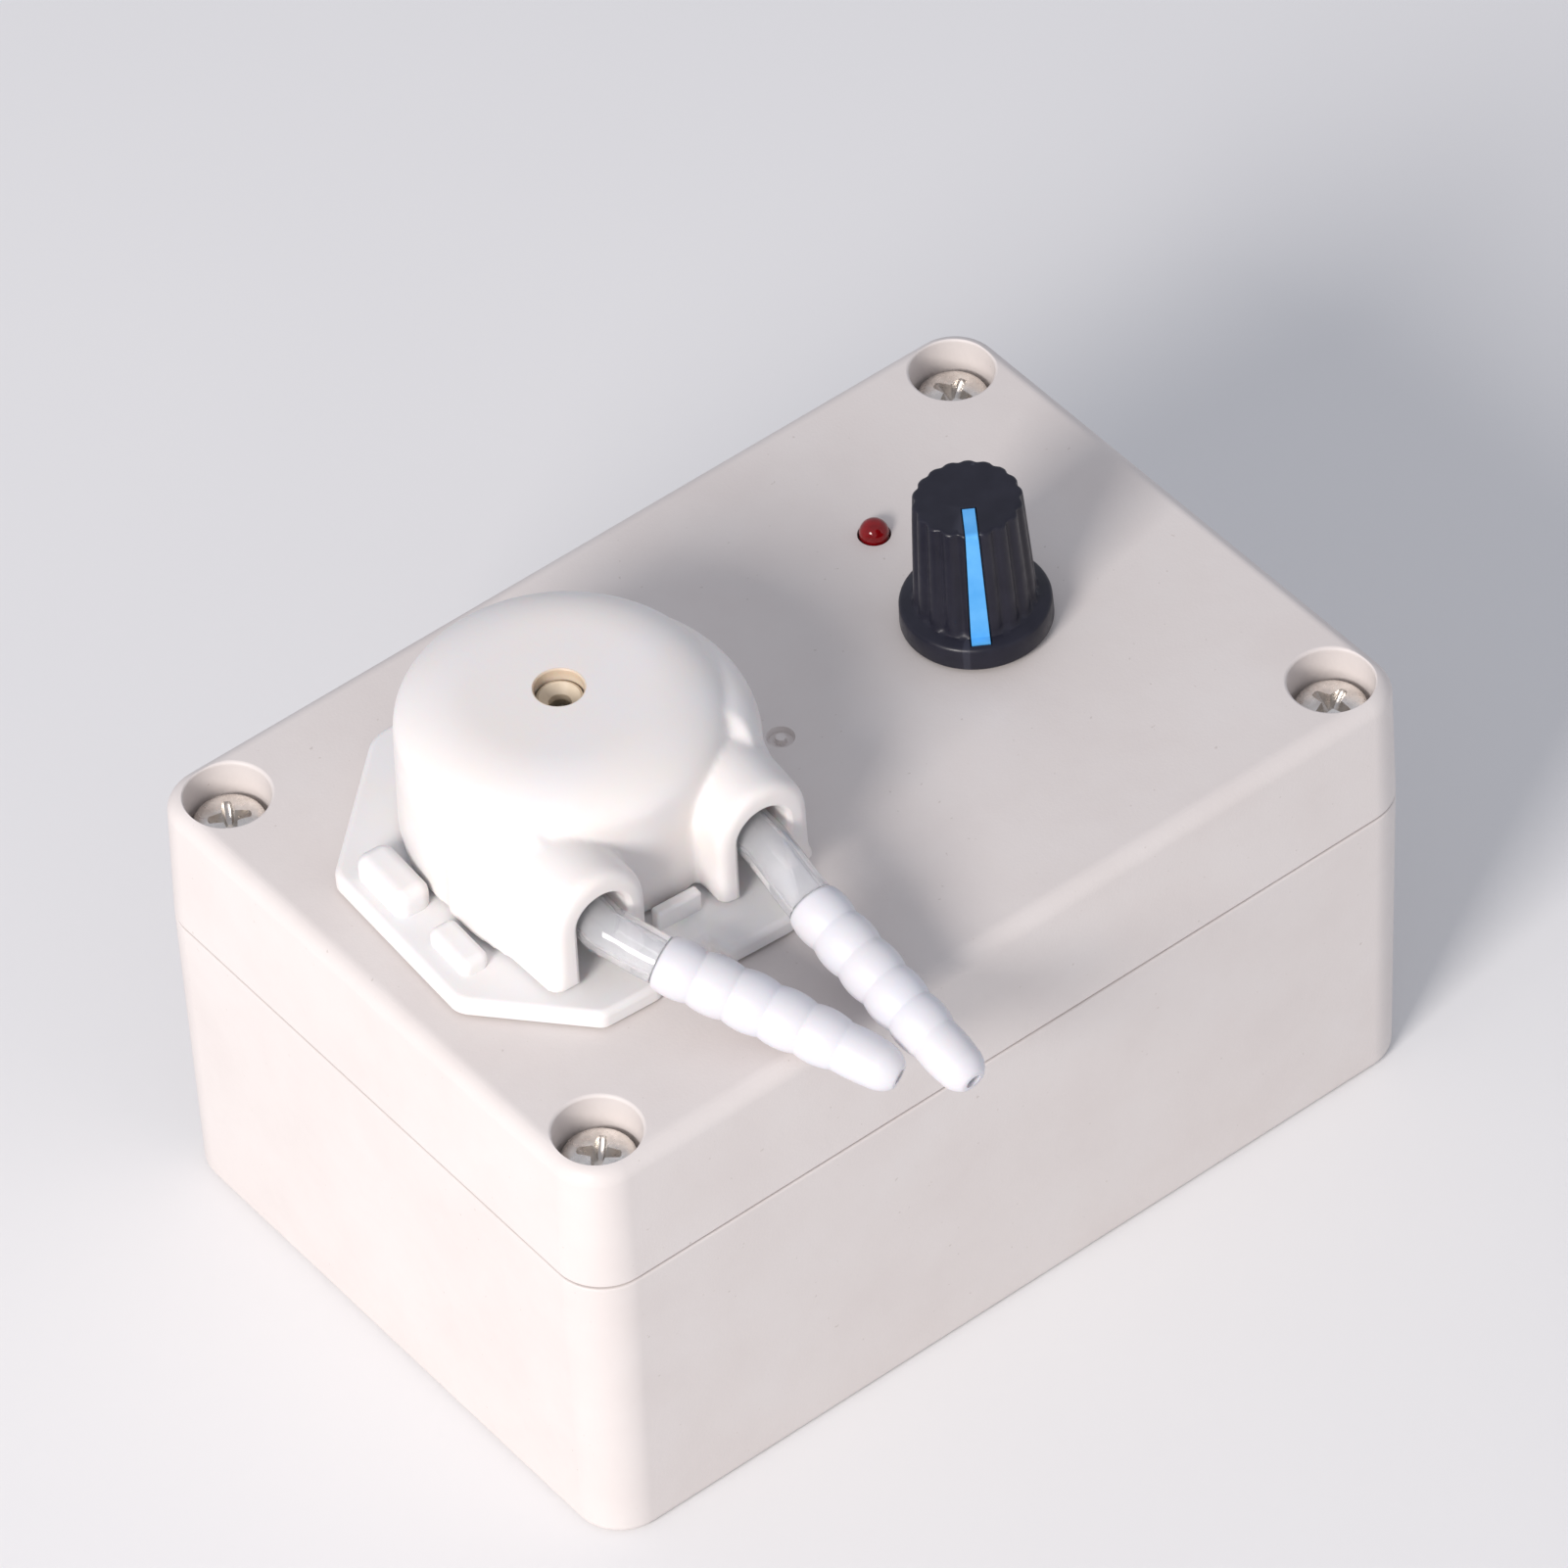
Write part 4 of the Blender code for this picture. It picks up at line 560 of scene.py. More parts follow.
def make_lid():
    """Upper half: rounded top edge, four sunk recesses with soft rims, holes and gate mark."""
    rim = SEAM_Z + SEAM_GAP
    loops = [box_loop(BOX_WALL + 0.3 * MM, ROOF_Z), box_loop(BOX_WALL, rim), box_loop(SEAM_ROUND, rim)]
    for step in range(1, 4):
        angle = math.radians(30.0 * step)
        loops.append(box_loop(SEAM_ROUND * (1 - math.sin(angle)), rim + SEAM_ROUND * (1 - math.cos(angle))))
    shoulder = BOX_Z - LID_EDGE
    shrink = LID_DRAFT * (shoulder - rim)
    for step in range(0, 11):
        angle = math.radians(9.0 * step)
        inset = shrink + LID_EDGE * (1 - math.cos(angle))
        loops.append(box_loop(inset, shoulder + LID_EDGE * math.sin(angle)))
    lid = solid("box_upper_shell", loops)
    join(lid, *corner_rods(5.3 * MM, rim + 0.3 * MM, ROOF_Z + 0.6 * MM, 32))
    tools = []
    flare = 0.35 * MM
    profile = [(SCREW_HOLE_R, rim - 2 * MM), (SCREW_HOLE_R, RECESS_SEAT_Z),
               (RECESS_R - 0.3 * MM, RECESS_SEAT_Z), (RECESS_R - 0.1 * MM, RECESS_SEAT_Z + 0.2 * MM)]
    profile += [(2 * (RECESS_R + flare) - r, z)
                for r, z in arc(RECESS_R + flare, BOX_Z - flare, flare, 0.0, 80.0, 6)]
    profile += [(RECESS_R + flare * 1.1, BOX_Z + flare)]
    for a, b in CORNERS:
        tools.append(solid("tool", turned(profile, 72, a * SCREW_X, b * SCREW_Y)))
    low = ROOF_Z - 2 * MM
    high = BOX_Z + 2 * MM
    tools.append(rod(SHAFT_HOLE_R, low, high, 32, place=HEAD_PLACE))
    tools += [rod(1.6 * MM, low, high, 20, x=sign * MOTOR_SCREW_X, place=HEAD_PLACE) for sign in (1, -1)]
    tools.append(rod(3.8 * MM, low, high, 32, place=KNOB_PLACE))
    tools.append(rod(LAMP_R + 0.2 * MM, low, high, 40, place=LAMP_PLACE))
    gate = [(0.5 * MM, BOX_Z - 0.10 * MM), (0.6 * MM, BOX_Z - 0.6 * MM), (1.2 * MM, BOX_Z - 0.6 * MM),
            (1.42 * MM, BOX_Z + 0.05 * MM), (0.5 * MM, BOX_Z + 0.05 * MM)]
    tools.append(solid("tool", turned(gate, 40), ring=True))
    cut(lid, *tools)
    show(lid, box_plastic("box_abs_upper"), "case", ["case_lid"])


def cross_loop(reach, half, z):
    """Level cross with slightly rounded arm ends."""
    outline = []
    for quarter in range(4):
        turn = Matrix.Rotation(math.pi / 2.0 * quarter, 3, "Z")
        for x, y in ((half * 1.25, -half * 1.25), (reach * 0.93, -half * 0.82), (reach, -half * 0.45),
                     (reach, half * 0.45), (reach * 0.93, half * 0.82)):
            outline.append(turn @ Vector((x, y, z)))
    return outline


def make_lid_screws():
    """Four plated pan-head screws with tapered cross recesses."""
    look = metal("screw_nickel", (0.88, 0.85, 0.81), (0.66, 0.62, 0.58), 0.30, depth=0.0015 * MM)
    shank_r = 1.95 * MM
    head_r = 3.6 * MM
    seat = RECESS_SEAT_Z + 0.3 * MM
    shoulder = seat + 1.15 * MM
    top = seat + 2.2 * MM
    profile = [(shank_r, 24.0 * MM), (shank_r, seat), (head_r - 0.2 * MM, seat), (head_r, seat + 0.2 * MM),
               (head_r, shoulder)]
    for degrees in (15, 30, 45, 60, 75, 88):
        angle = math.radians(degrees)
        profile.append((head_r - 1.0 * MM * (1 - math.cos(angle)), shoulder + 0.85 * MM * math.sin(angle)))
    profile += [(1.4 * MM, seat + 2.12 * MM), (0.5 * MM, seat + 2.17 * MM)]
    recess = [cross_loop(reach * MM, half * MM, top + height * MM)
              for reach, half, height in ((0.55, 0.24, -1.75), (0.85, 0.33, -1.5), (1.95, 0.46, -0.45),
                                          (2.2, 0.56, 0.1))]
    for i, (turn, (a, b)) in enumerate(zip((0.35, 1.1, 0.75, 0.2), CORNERS)):
        place = Matrix.Translation((a * SCREW_X, b * SCREW_Y, 0.0)) @ Matrix.Rotation(turn, 4, "Z")
        screw = solid(f"lid_screw_head_{i + 1}", turned(profile, 64), place)
        cut(screw, solid("tool", recess, place))
        show(screw, look, "case", [f"lid_screw_{i + 1}"], 28.0)


# ---- pump head --------------------------------------------------------------
def round_polygon(corners, inset, z, steps):
    """Polygon whose corners carry their own radius; the inset moves every side inwards."""
    count = len(corners)
    flat = [Vector((x * MM, y * MM, 0.0)) for x, y, _ in corners]
    moved = []
    for i in range(count):
        before = (flat[i] - flat[i - 1]).normalized()
        after = (flat[(i + 1) % count] - flat[i]).normalized()
        normal_before = Vector((-before.y, before.x, 0.0))
        half = normal_before + Vector((-after.y, after.x, 0.0))
        moved.append(flat[i] + half * (inset / max(0.3, half.dot(normal_before))))
    points = []
    for i in range(count):
        before = (moved[i] - moved[i - 1]).normalized()
        after = (moved[(i + 1) % count] - moved[i]).normalized()
        cut_back = corners[i][2] * MM * math.tan(before.angle(after) / 2.0)
        first = moved[i] - before * cut_back
        last = moved[i] + after * cut_back
        for step in range(steps + 1):
            t = step / steps
            bend = (1 - t) ** 2 * first + 2 * t * (1 - t) * moved[i] + t ** 2 * last
            points.append(Vector((bend.x, bend.y, z)))
    return points


# Corners of the foot plate in head coordinates: x, y and corner radius, in millimetres.
PLATE_CORNERS = ((18.6, 4.0, 3.0), (9.0, 19.6, 4.0), (-9.0, 19.6, 4.0), (-22.0, 6.6, 2.5),
                 (-22.0, -13.8, 2.5), (-12.2, -23.6, 1.5), (-5.6, -23.6, 1.5), (-4.4, -21.3, 1.5),
                 (0.9, -21.3, 0.8), (1.5, -24.0, 0.8), (9.6, -24.0, 2.6), (13.8, -17.0, 2.0),
                 (17.2, -7.0, 3.0))


def make_head_plate():
    """Foot plate with a rounded upper edge, the hook and lug on the left and the latch tongue."""
    edge = 0.7 * MM
    loops = [round_polygon(PLATE_CORNERS, 0.15 * MM, PLATE_Z0, 9),
             round_polygon(PLATE_CORNERS, 0.0, PLATE_Z0 + 0.2 * MM, 9)]
    for step in range(7):
        angle = math.radians(15.0 * step)
        loops.append(round_polygon(PLATE_CORNERS, edge * (1 - math.cos(angle)),
                                   PLATE_Z1 - edge * (1 - math.sin(angle)), 9))
    plate = solid("head_foot_plate", loops, HEAD_PLACE)
    hook = pillow(Vector((-18.65, 1.4, 53.2)) * MM, Vector((3.9, 7.8, 3.8)) * MM, 1.3 * MM, HEAD_PLACE)
    lug = pillow(Vector((-18.4, -9.0, 52.7)) * MM, Vector((3.0, 6.2, 2.6)) * MM, 0.9 * MM, HEAD_PLACE)
    latch = pillow(Vector((0.3, -17.4, 53.0)) * MM, Vector((5.0, 1.3, 3.0)) * MM, 0.35 * MM, HEAD_PLACE)
    join(plate, hook, lug, latch)
    low = PLATE_Z0 - 2 * MM
    high = PLATE_Z1 + 2 * MM
    screw = [(1.6 * MM, low), (1.6 * MM, 50.9 * MM), (2.6 * MM, 50.9 * MM), (2.6 * MM, high)]
    cut(plate, rod(SHAFT_HOLE_R, low, high, 32, place=HEAD_PLACE),
        *[solid("tool", turned(screw, 24, x=sign * MOTOR_SCREW_X), HEAD_PLACE) for sign in (1, -1)])
    look = white_plastic("head_plate_satin", (0.80, 0.79, 0.785), 0.42, 0.005 * MM).done()
    show(plate, look, "case", ["head_plate"])


def port_section(x_in, x_out, z_top, y, foot):
    """Upright arch section across the Y direction, its outer foot spread sideways."""
    middle = (x_in + x_out) / 2.0
    half = (x_out - x_in) / 2.0
    rise = PORT_TOP - PORT_ARCH_Z
    points = [Vector((x_out + foot * share, y, CAP_Z0 + height * MM))
              for share, height in ((1.0, 0.0), (0.66, 0.5), (0.36, 1.2), (0.12, 2.2))]
    for step in range(21):
        angle = math.pi * step / 20
        points.append(Vector((middle + half * math.cos(angle), y, z_top - rise + rise * math.sin(angle))))
    points.append(Vector((x_in, y, CAP_Z0)))
    return points


def slot_section(x, half_in, half_out, y, grow=0.0):
    """Arch-topped passage for the hose, open at the bottom."""
    points = [Vector((x + half_out + grow, y, CAP_Z0 - 3 * MM))]
    for step in range(25):
        angle = math.pi * step / 24
        half = (half_out if angle < math.pi / 2 else half_in) + grow
        z = PORT_ARCH_Z + (SLOT_R + grow) * math.sin(angle)
        points.append(Vector((x + half * math.cos(angle), y, z)))
    points.append(Vector((x - half_in - grow, y, CAP_Z0 - 3 * MM)))
    return points


def mirrored(loops):
    """Mirror a chain of loops in X."""
    return [[Vector((-p.x, p.y, p.z)) for p in reversed(loop)] for loop in loops]


def make_head_cap():
    """Soft-edged cap: dome, wider lower body and two ports melted together, then hollowed."""
    profile = [(DOME_FOOT_R, CAP_Z0), (DOME_R, DOME_SPRING_Z)]
    for step in range(1, 13):
        angle = math.radians(7.5 * step)
        profile.append((DOME_FLAT_R + (DOME_R - DOME_FLAT_R) * math.cos(angle),
                        DOME_SPRING_Z + DOME_RISE * math.sin(angle)))
    cap = solid("head_cap_shell", turned(profile, 96), HEAD_PLACE)
    profile = [(BULGE_R, CAP_Z0)]
    profile += arc(BULGE_R - BULGE_EDGE, BULGE_TOP - BULGE_EDGE, BULGE_EDGE, 0.0, 90.0, 9)
    bulge = solid("tool", turned(profile, 96, BULGE_X, BULGE_Y), HEAD_PLACE)
    notch = []
    for y, inner_z, outer_z in ((-24.0, 55.0, 60.0), (-8.0, 66.0, 67.5)):
        half = [(4.3, 50.0), (4.3, inner_z), (14.0, outer_z), (14.0, 72.0)]
        outline = half + [(-x, z) for x, z in reversed(half)]
        notch.append([Vector((x, y, z)) * MM for x, z in outline])
    cut(bulge, solid("tool", notch, HEAD_PLACE))
    port = []
    x_in = 4.05
    for y, inset in ((0.0, 0.9), (0.1, 0.55), (0.38, 0.2), (0.95, 0.0)):
        port.append(port_section((x_in + inset) * MM, (14.2 - inset + 0.07 * y) * MM, PORT_TOP - inset * MM,
                                 PORT_FRONT + y * MM, (0.8 - 0.3 * inset) * MM))
    for x_out, drop, y, foot in ((14.6, 0.1, -13.5, 0.8), (16.2, 0.6, -8.4, 0.3), (16.4, 1.0, -4.5, 0.2)):
        port.append(port_section(x_in * MM, x_out * MM, PORT_TOP - drop * MM, y * MM, foot * MM))
    join(cap, bulge, solid("tool", port, HEAD_PLACE), solid("tool", mirrored(port), HEAD_PLACE))
    melt = cap.modifiers.new("melt", "REMESH")
    melt.mode = "VOXEL"
    melt.voxel_size = MELT_VOXEL
    smooth = cap.modifiers.new("soften", "SMOOTH")
    smooth.factor = 0.5
    smooth.iterations = MELT_ROUNDS
    settle(cap)
    slot = [slot_section(PORT_X, SLOT_R, SLOT_R, PORT_FRONT + depth * MM, grow * MM)
            for depth, grow in ((-3.0, 0.6), (0.02, 0.5), (0.12, 0.28), (0.3, 0.1), (0.6, 0.0))]
    slot += [slot_section(PORT_X + shift * MM, SLOT_R, SLOT_R + widened * MM, y * MM)
             for y, shift, widened in ((-15.0, 0.0, 0.0), (-12.0, 0.0, 1.3), (-8.5, 1.0, 2.6),
                                       (-4.0, 1.4, 2.3), (1.0, 0.6, 1.0))]
    bore = [(BORE_R, CAP_Z0 - 3 * MM), (BORE_R, BORE_TOP - 1.2 * MM), (BORE_R - 1.1 * MM, BORE_TOP)]
    hole = [(2.5 * MM, BORE_TOP - 2 * MM), (2.45 * MM, 67.6 * MM), (2.38 * MM, 68.45 * MM),
            (2.5 * MM, 68.6 * MM), (2.5 * MM, 70.0 * MM)]
    cut(cap, solid("tool", turned(bore, 96), HEAD_PLACE), solid("tool", slot, HEAD_PLACE),
        solid("tool", mirrored(slot), HEAD_PLACE), solid("tool", turned(hole, 64), HEAD_PLACE))
    look = white_plastic("head_cap_satin", (0.82, 0.79, 0.775), 0.38, 0.004 * MM)
    # painted shade: the wall of the centre hole gets a warm darker colour in place of its shade
    look.shade_near_head_axis(2.42 * MM, 2.62 * MM, (0.66, 0.54, 0.41))
    show(cap, look.done(), "case", ["head_cap"], 40.0)


# ---- hose and connectors ----------------------------------------------------
# Axis of each hose stub in head coordinates, in millimetres, from the port outwards and down.
RIGHT_STUB = ((9.0, -19.5, 58.3), (8.7, -27.0, 56.9), (9.5, -36.1, 54.3), (10.3, -45.1, 51.9),
              (10.7, -49.5, 50.7))
LEFT_STUB = ((-9.0, -19.5, 58.3), (-6.3, -25.2, 56.9), (-1.9, -31.9, 54.6), (3.5, -40.9, 51.9),
             (5.7, -45.1, 50.7))


class Stub:
    """One hose stub: its axis and where, in millimetres along it, the connector's parts lie."""

    def __init__(self, knots, boot, nose, end):
        self.path = smooth_path([Vector(knot) * MM for knot in knots], 40)
        self.lengths = [0.0]
        for a, b in zip(self.path, self.path[1:]):
            self.lengths.append(self.lengths[-1] + (b - a).length / MM)
        self.boot = boot
        self.nose = nose
        self.end = end

    def at(self, distance):
        """Point on the axis at a distance in millimetres."""
        k = 1
        while k < len(self.lengths) - 1 and self.lengths[k] < distance:
            k += 1
        t = (distance - self.lengths[k - 1]) / (self.lengths[k] - self.lengths[k - 1])
        return self.path[k - 1].lerp(self.path[k], t)


RIGHT = Stub(RIGHT_STUB, 7.9, 25.6, 31.2)
LEFT = Stub(LEFT_STUB, 6.1, 24.4, 30.5)

# Millimetres along a stub; the collar is a share of the nose.
HOSE_GAP = 0.05
RIB_PITCH = 3.4
STATION_STEP = 0.13
NOSE_COLLAR = 0.62


def orbit(radius, degrees):
    """Point on the track circle about the head axis."""
    angle = math.radians(degrees)
    return Vector((radius * math.cos(angle), radius * math.sin(angle), TUBE_Z))


def make_hose():
    """One clear hose: right stub, squeezed loop round the track, left stub; open at both ends."""
    path = []
    size = []
    for i in range(20, -1, -1):
        path.append(RIGHT.at((RIGHT.boot - HOSE_GAP) * i / 20))
        size.append((TUBE_R, TUBE_R))
    inner = [Vector(p) * MM for p in ((9.0, -19.5, 58.3), (9.05, -15.5, 58.3), (9.9, -11.8, 58.3),
                                      (12.2, -8.2, 58.3), (13.5, -4.2, 58.3))]
    bend = smooth_path(inner + [orbit(TRACK_R, -TRACK_OVERLAP)], 8)
    squeeze = len(bend) - 1

    def squeezed(index):
        t = ease((index - squeeze * 0.55) / (squeeze * 0.45))
        return TUBE_R + (SQUEEZED_HALF - TUBE_R) * t, TUBE_R + (SQUEEZED_TALL - TUBE_R) * t

    for i, point in enumerate(bend[1:-1], start=1):
        path.append(point)
        size.append(squeezed(i))
    for i in range(61):
        path.append(orbit(TRACK_R, -TRACK_OVERLAP + (180.0 + 2 * TRACK_OVERLAP) * i / 60))
        size.append((SQUEEZED_HALF, SQUEEZED_TALL))
    for i in range(squeeze - 1, 0, -1):
        path.append(Vector((-bend[i].x, bend[i].y, bend[i].z)))
        size.append(squeezed(i))
    for i in range(17):
        path.append(LEFT.at((LEFT.boot - HOSE_GAP) * i / 16))
        size.append((TUBE_R, TUBE_R))
    outer = swept(path, [ellipse(a, b, 32) for a, b in size])
    bore = swept(path, [ellipse(max(0.1 * MM, a - HOSE_WALL), b - HOSE_WALL, 32) for a, b in size])
    hose = solid("clear_hose", outer + list(reversed(bore)), HEAD_PLACE, ring=True)
    show(hose, clear_hose(), "case", ["pump_tube"], 60.0)


def connector_radius(stub, x):
    """Radius of a connector at a distance in millimetres: rounded rim, soft ribs, then the nose."""
    rim = 0.35 * (1.0 - math.sqrt(max(0.0, 1.0 - (1.0 - min(1.0, (x - stub.boot) / 0.45)) ** 2)))
    if x < stub.nose:
        share = (x - stub.boot) / (stub.nose - stub.boot)
        ribs = round((stub.nose - stub.boot) / RIB_PITCH)
        swell = abs(math.sin(math.pi * ribs * share)) ** 0.7
        return 2.52 + 0.16 * math.sin(math.pi * share) + 0.30 * swell - 0.10 * share - rim
    t = (x - stub.nose) / (stub.end - stub.nose)
    if t < NOSE_COLLAR:
        return 2.42 - 0.12 * t + 0.10 * math.sin(math.pi * t / NOSE_COLLAR)
    u = (t - NOSE_COLLAR) / (1.0 - NOSE_COLLAR)
    return 2.345 * math.sqrt(max(0.0, 1 - (0.84 * u) ** 2))


def make_connector(name, stub, look, node):
    """White connector pushed over the hose, with soft ribs and an open rounded nose."""
    first = stub.boot
    count = int((stub.end - first) / STATION_STEP)
    stations = [first + (stub.end - first) * i / count for i in range(count + 1)]
    path = [stub.at(s) for s in stations]
    outer = swept(path, [ellipse(r, r, 40) for r in (connector_radius(stub, s) * MM for s in stations)])
    bore = swept(path, [ellipse(0.8 * MM, 0.8 * MM, 40)] * len(path))
    bore = [bore[0]] + bore[6:-6:8] + [bore[-1]]
    piece = solid(name, outer + list(reversed(bore)), HEAD_PLACE, ring=True)
    show(piece, look, "case", [node], 50.0)


# ---- knob, lamp, inlet ------------------------------------------------------
def knob_loop(radius, depth, z, count=FLUTES * 14):
    """Level loop with soft ribs."""
    points = []
    for i in range(count):
        angle = 2 * math.pi * i / count
        r = radius - depth * (0.5 + 0.5 * math.cos(FLUTES * angle)) ** 1.6
        points.append(Vector((r * math.cos(angle), r * math.sin(angle), z)))
    return points


def knob_radius(z):
    """Radius of the ribbed body at a height."""
    return KNOB_TOP_R + (KNOB_FOOT_R - KNOB_TOP_R) * (KNOB_TOP - z) / (KNOB_TOP - SKIRT_TOP)


def pointer_loops(side_gap, depth, stand_off):
    """Bent bar that runs out along the top, down the flank and over the skirt."""
    lip_z = SKIRT_TOP + 0.10 * MM
    bend = 0.5 * MM
    start_r = POINTER_START_R - side_gap
    end_r = POINTER_END_R + side_gap
    low_z = 54.2 * MM
    profile = [(start_r, KNOB_TOP + stand_off)]
    for t in (0.0, 0.4, 0.8, 1.2, 1.5):
        profile.append((KNOB_TOP_R - bend + (bend + stand_off) * math.sin(t),
                        KNOB_TOP - bend + (bend + stand_off) * math.cos(t)))
    profile += [(knob_radius(z) + stand_off, z) for z in (56.0 * MM, low_z)]
    profile += [(knob_radius(53.6 * MM) + stand_off + 0.12 * MM, lip_z + 0.12 * MM + stand_off),
                (end_r, lip_z - 0.02 * MM + stand_off), (end_r, lip_z - depth),
                (knob_radius(low_z) - depth, lip_z - depth), (KNOB_TOP_R - depth, KNOB_TOP - depth),
                (start_r, KNOB_TOP - depth)]
    loops = []
    for sign in (-1.0, -0.86, 0.86, 1.0):
        lower = 0.07 * MM if abs(sign) == 1.0 else 0.0
        loop = []
        for k, (radius, z) in enumerate(profile):
            half = (0.60 + 0.30 * (KNOB_TOP - z) / (KNOB_TOP - SKIRT_TOP)) * MM + side_gap
            drop = lower if k < len(profile) - 4 else 0.0
            loop.append(Vector((radius - drop * 0.7, sign * half, z - drop * 0.7)))
        loops.append(loop)
    return loops


def plain_loops(profile):
    """Level loops without ribs for a list of (radius, height) pairs."""
    return [knob_loop(radius, 0.0, z) for radius, z in profile]


def make_knob():
    """Ribbed knob with a skirt and an inlaid pointer; it sits slightly askew, its bore does not."""
    loops = plain_loops([(6.2 * MM, 52.3 * MM), (6.2 * MM, BOX_Z + 0.4 * MM)])
    loops += plain_loops(arc(SKIRT_R - 0.35 * MM, BOX_Z + 0.75 * MM, 0.35 * MM, -90, 0, 4))
    loops += plain_loops([(SKIRT_R - 0.03 * MM, SKIRT_TOP - 1.5 * MM)])
    loops += plain_loops(arc(SKIRT_R - 0.6 * MM, SKIRT_TOP - 0.75 * MM, 0.55 * MM, 10, 75, 5))
    for out, depth, height in ((0.42, 0.0, 0.0), (0.14, 0.03, 0.08), (0.02, 0.20, 0.34), (-0.02, 0.30, 0.8)):
        loops.append(knob_loop(KNOB_FOOT_R + out * MM, depth * MM, SKIRT_TOP + height * MM))
    loops += [knob_loop(knob_radius(z * MM), 0.34 * MM, z * MM) for z in (56.0, 59.0, 62.0, 64.4)]
    rim = 0.42 * MM
    for r, z in arc(KNOB_TOP_R - rim, KNOB_TOP - rim, rim, 0, 90, 6):
        fade = ease((KNOB_TOP - z) / rim)
        loops.append(knob_loop(r, (0.18 + 0.16 * fade) * MM, z))
    loops += plain_loops([(KNOB_TOP_R - 0.9 * MM, KNOB_TOP)])
    knob = solid("control_knob", loops, KNOB_PLACE @ KNOB_LEAN)
    turn = KNOB_PLACE @ KNOB_LEAN @ Matrix.Rotation(POINTER_ANGLE, 4, "Z")
    cut(knob, rod(3.25 * MM, BOX_Z - 2 * MM, 62.3 * MM, 40, place=KNOB_PLACE),
        solid("tool", pointer_loops(0.14 * MM, 0.6 * MM, 0.25 * MM), turn))
    show(knob, knob_plastic(), "knob", ["knob"], 32.0)
    pointer = solid("knob_pointer_inlay", pointer_loops(0.0, 0.4 * MM, 0.03 * MM), turn)
    look = moulded("pointer_blue", (0.075, 0.37, 0.80), (0.12, 0.45, 0.88), 0.42)
    show(pointer, look, "knob", ["knob_pointer"], 32.0)


def make_lamp():
    """Red lamp dome with a small step at its foot."""
    profile = [(1.95 * MM, 45.9 * MM), (1.95 * MM, 46.9 * MM), (LAMP_R, 46.9 * MM)]
    profile += arc(0.0, 50.25 * MM, LAMP_R, 0.0, 88.0, 14)
    lamp = solid("lamp_dome", turned(profile, 56), LAMP_PLACE)
    show(lamp, lamp_red(), "case", ["lamp"], 40.0)


def make_inlet():
    """Round low-voltage socket with a rounded flange."""
    outer = [(3.9 * MM, 21.0 * MM), (3.9 * MM, 34.25 * MM), (5.45 * MM, 34.25 * MM), (5.6 * MM, 34.4 * MM)]
    outer += arc(5.2 * MM, 35.2 * MM, 0.4 * MM, 0.0, 90.0, 5)
    inner = [(3.2 * MM, 35.6 * MM), (2.95 * MM, 35.5 * MM), (2.75 * MM, 35.2 * MM), (2.75 * MM, 26.0 * MM)]
    loops = [along_y(loop) for loop in turned(outer + inner, 56)]
    socket = solid("inlet_socket", loops, JACK_PLACE)
    look = moulded("inlet_black", (0.012, 0.012, 0.013), (0.022, 0.022, 0.024), 0.42)
    show(socket, look, "case", ["dc_jack"], 35.0)


def smooth_edges():
    """Geometry node group that joins split corners and shades by angle, for the CAD pieces that stay."""
    group = bpy.data.node_groups.new("joined_smooth", "GeometryNodeTree")
    group.interface.new_socket("Geometry", in_out="INPUT", socket_type="NodeSocketGeometry")
    group.interface.new_socket("Geometry", in_out="OUTPUT", socket_type="NodeSocketGeometry")
    start = group.nodes.new("NodeGroupInput")
    end = group.nodes.new("NodeGroupOutput")
    merge = group.nodes.new("GeometryNodeMergeByDistance")
    merge.inputs["Distance"].default_value = 1e-6
    angle = group.nodes.new("GeometryNodeInputMeshEdgeAngle")
    small = group.nodes.new("FunctionNodeCompare")
    small.data_type = "FLOAT"
    small.operation = "LESS_THAN"
    small.inputs[1].default_value = math.radians(35.0)
    faces = group.nodes.new("GeometryNodeSetShadeSmooth")
    edges = group.nodes.new("GeometryNodeSetShadeSmooth")
    edges.domain = "EDGE"
    group.links.new(start.outputs[0], merge.inputs["Geometry"])
    group.links.new(merge.outputs["Geometry"], faces.inputs["Geometry"])
    group.links.new(faces.outputs[0], edges.inputs["Geometry"])
    group.links.new(angle.outputs["Unsigned Angle"], small.inputs[0])
    group.links.new(small.outputs[0], edges.inputs["Shade Smooth"])
    group.links.new(edges.outputs[0], end.inputs[0])
    return group


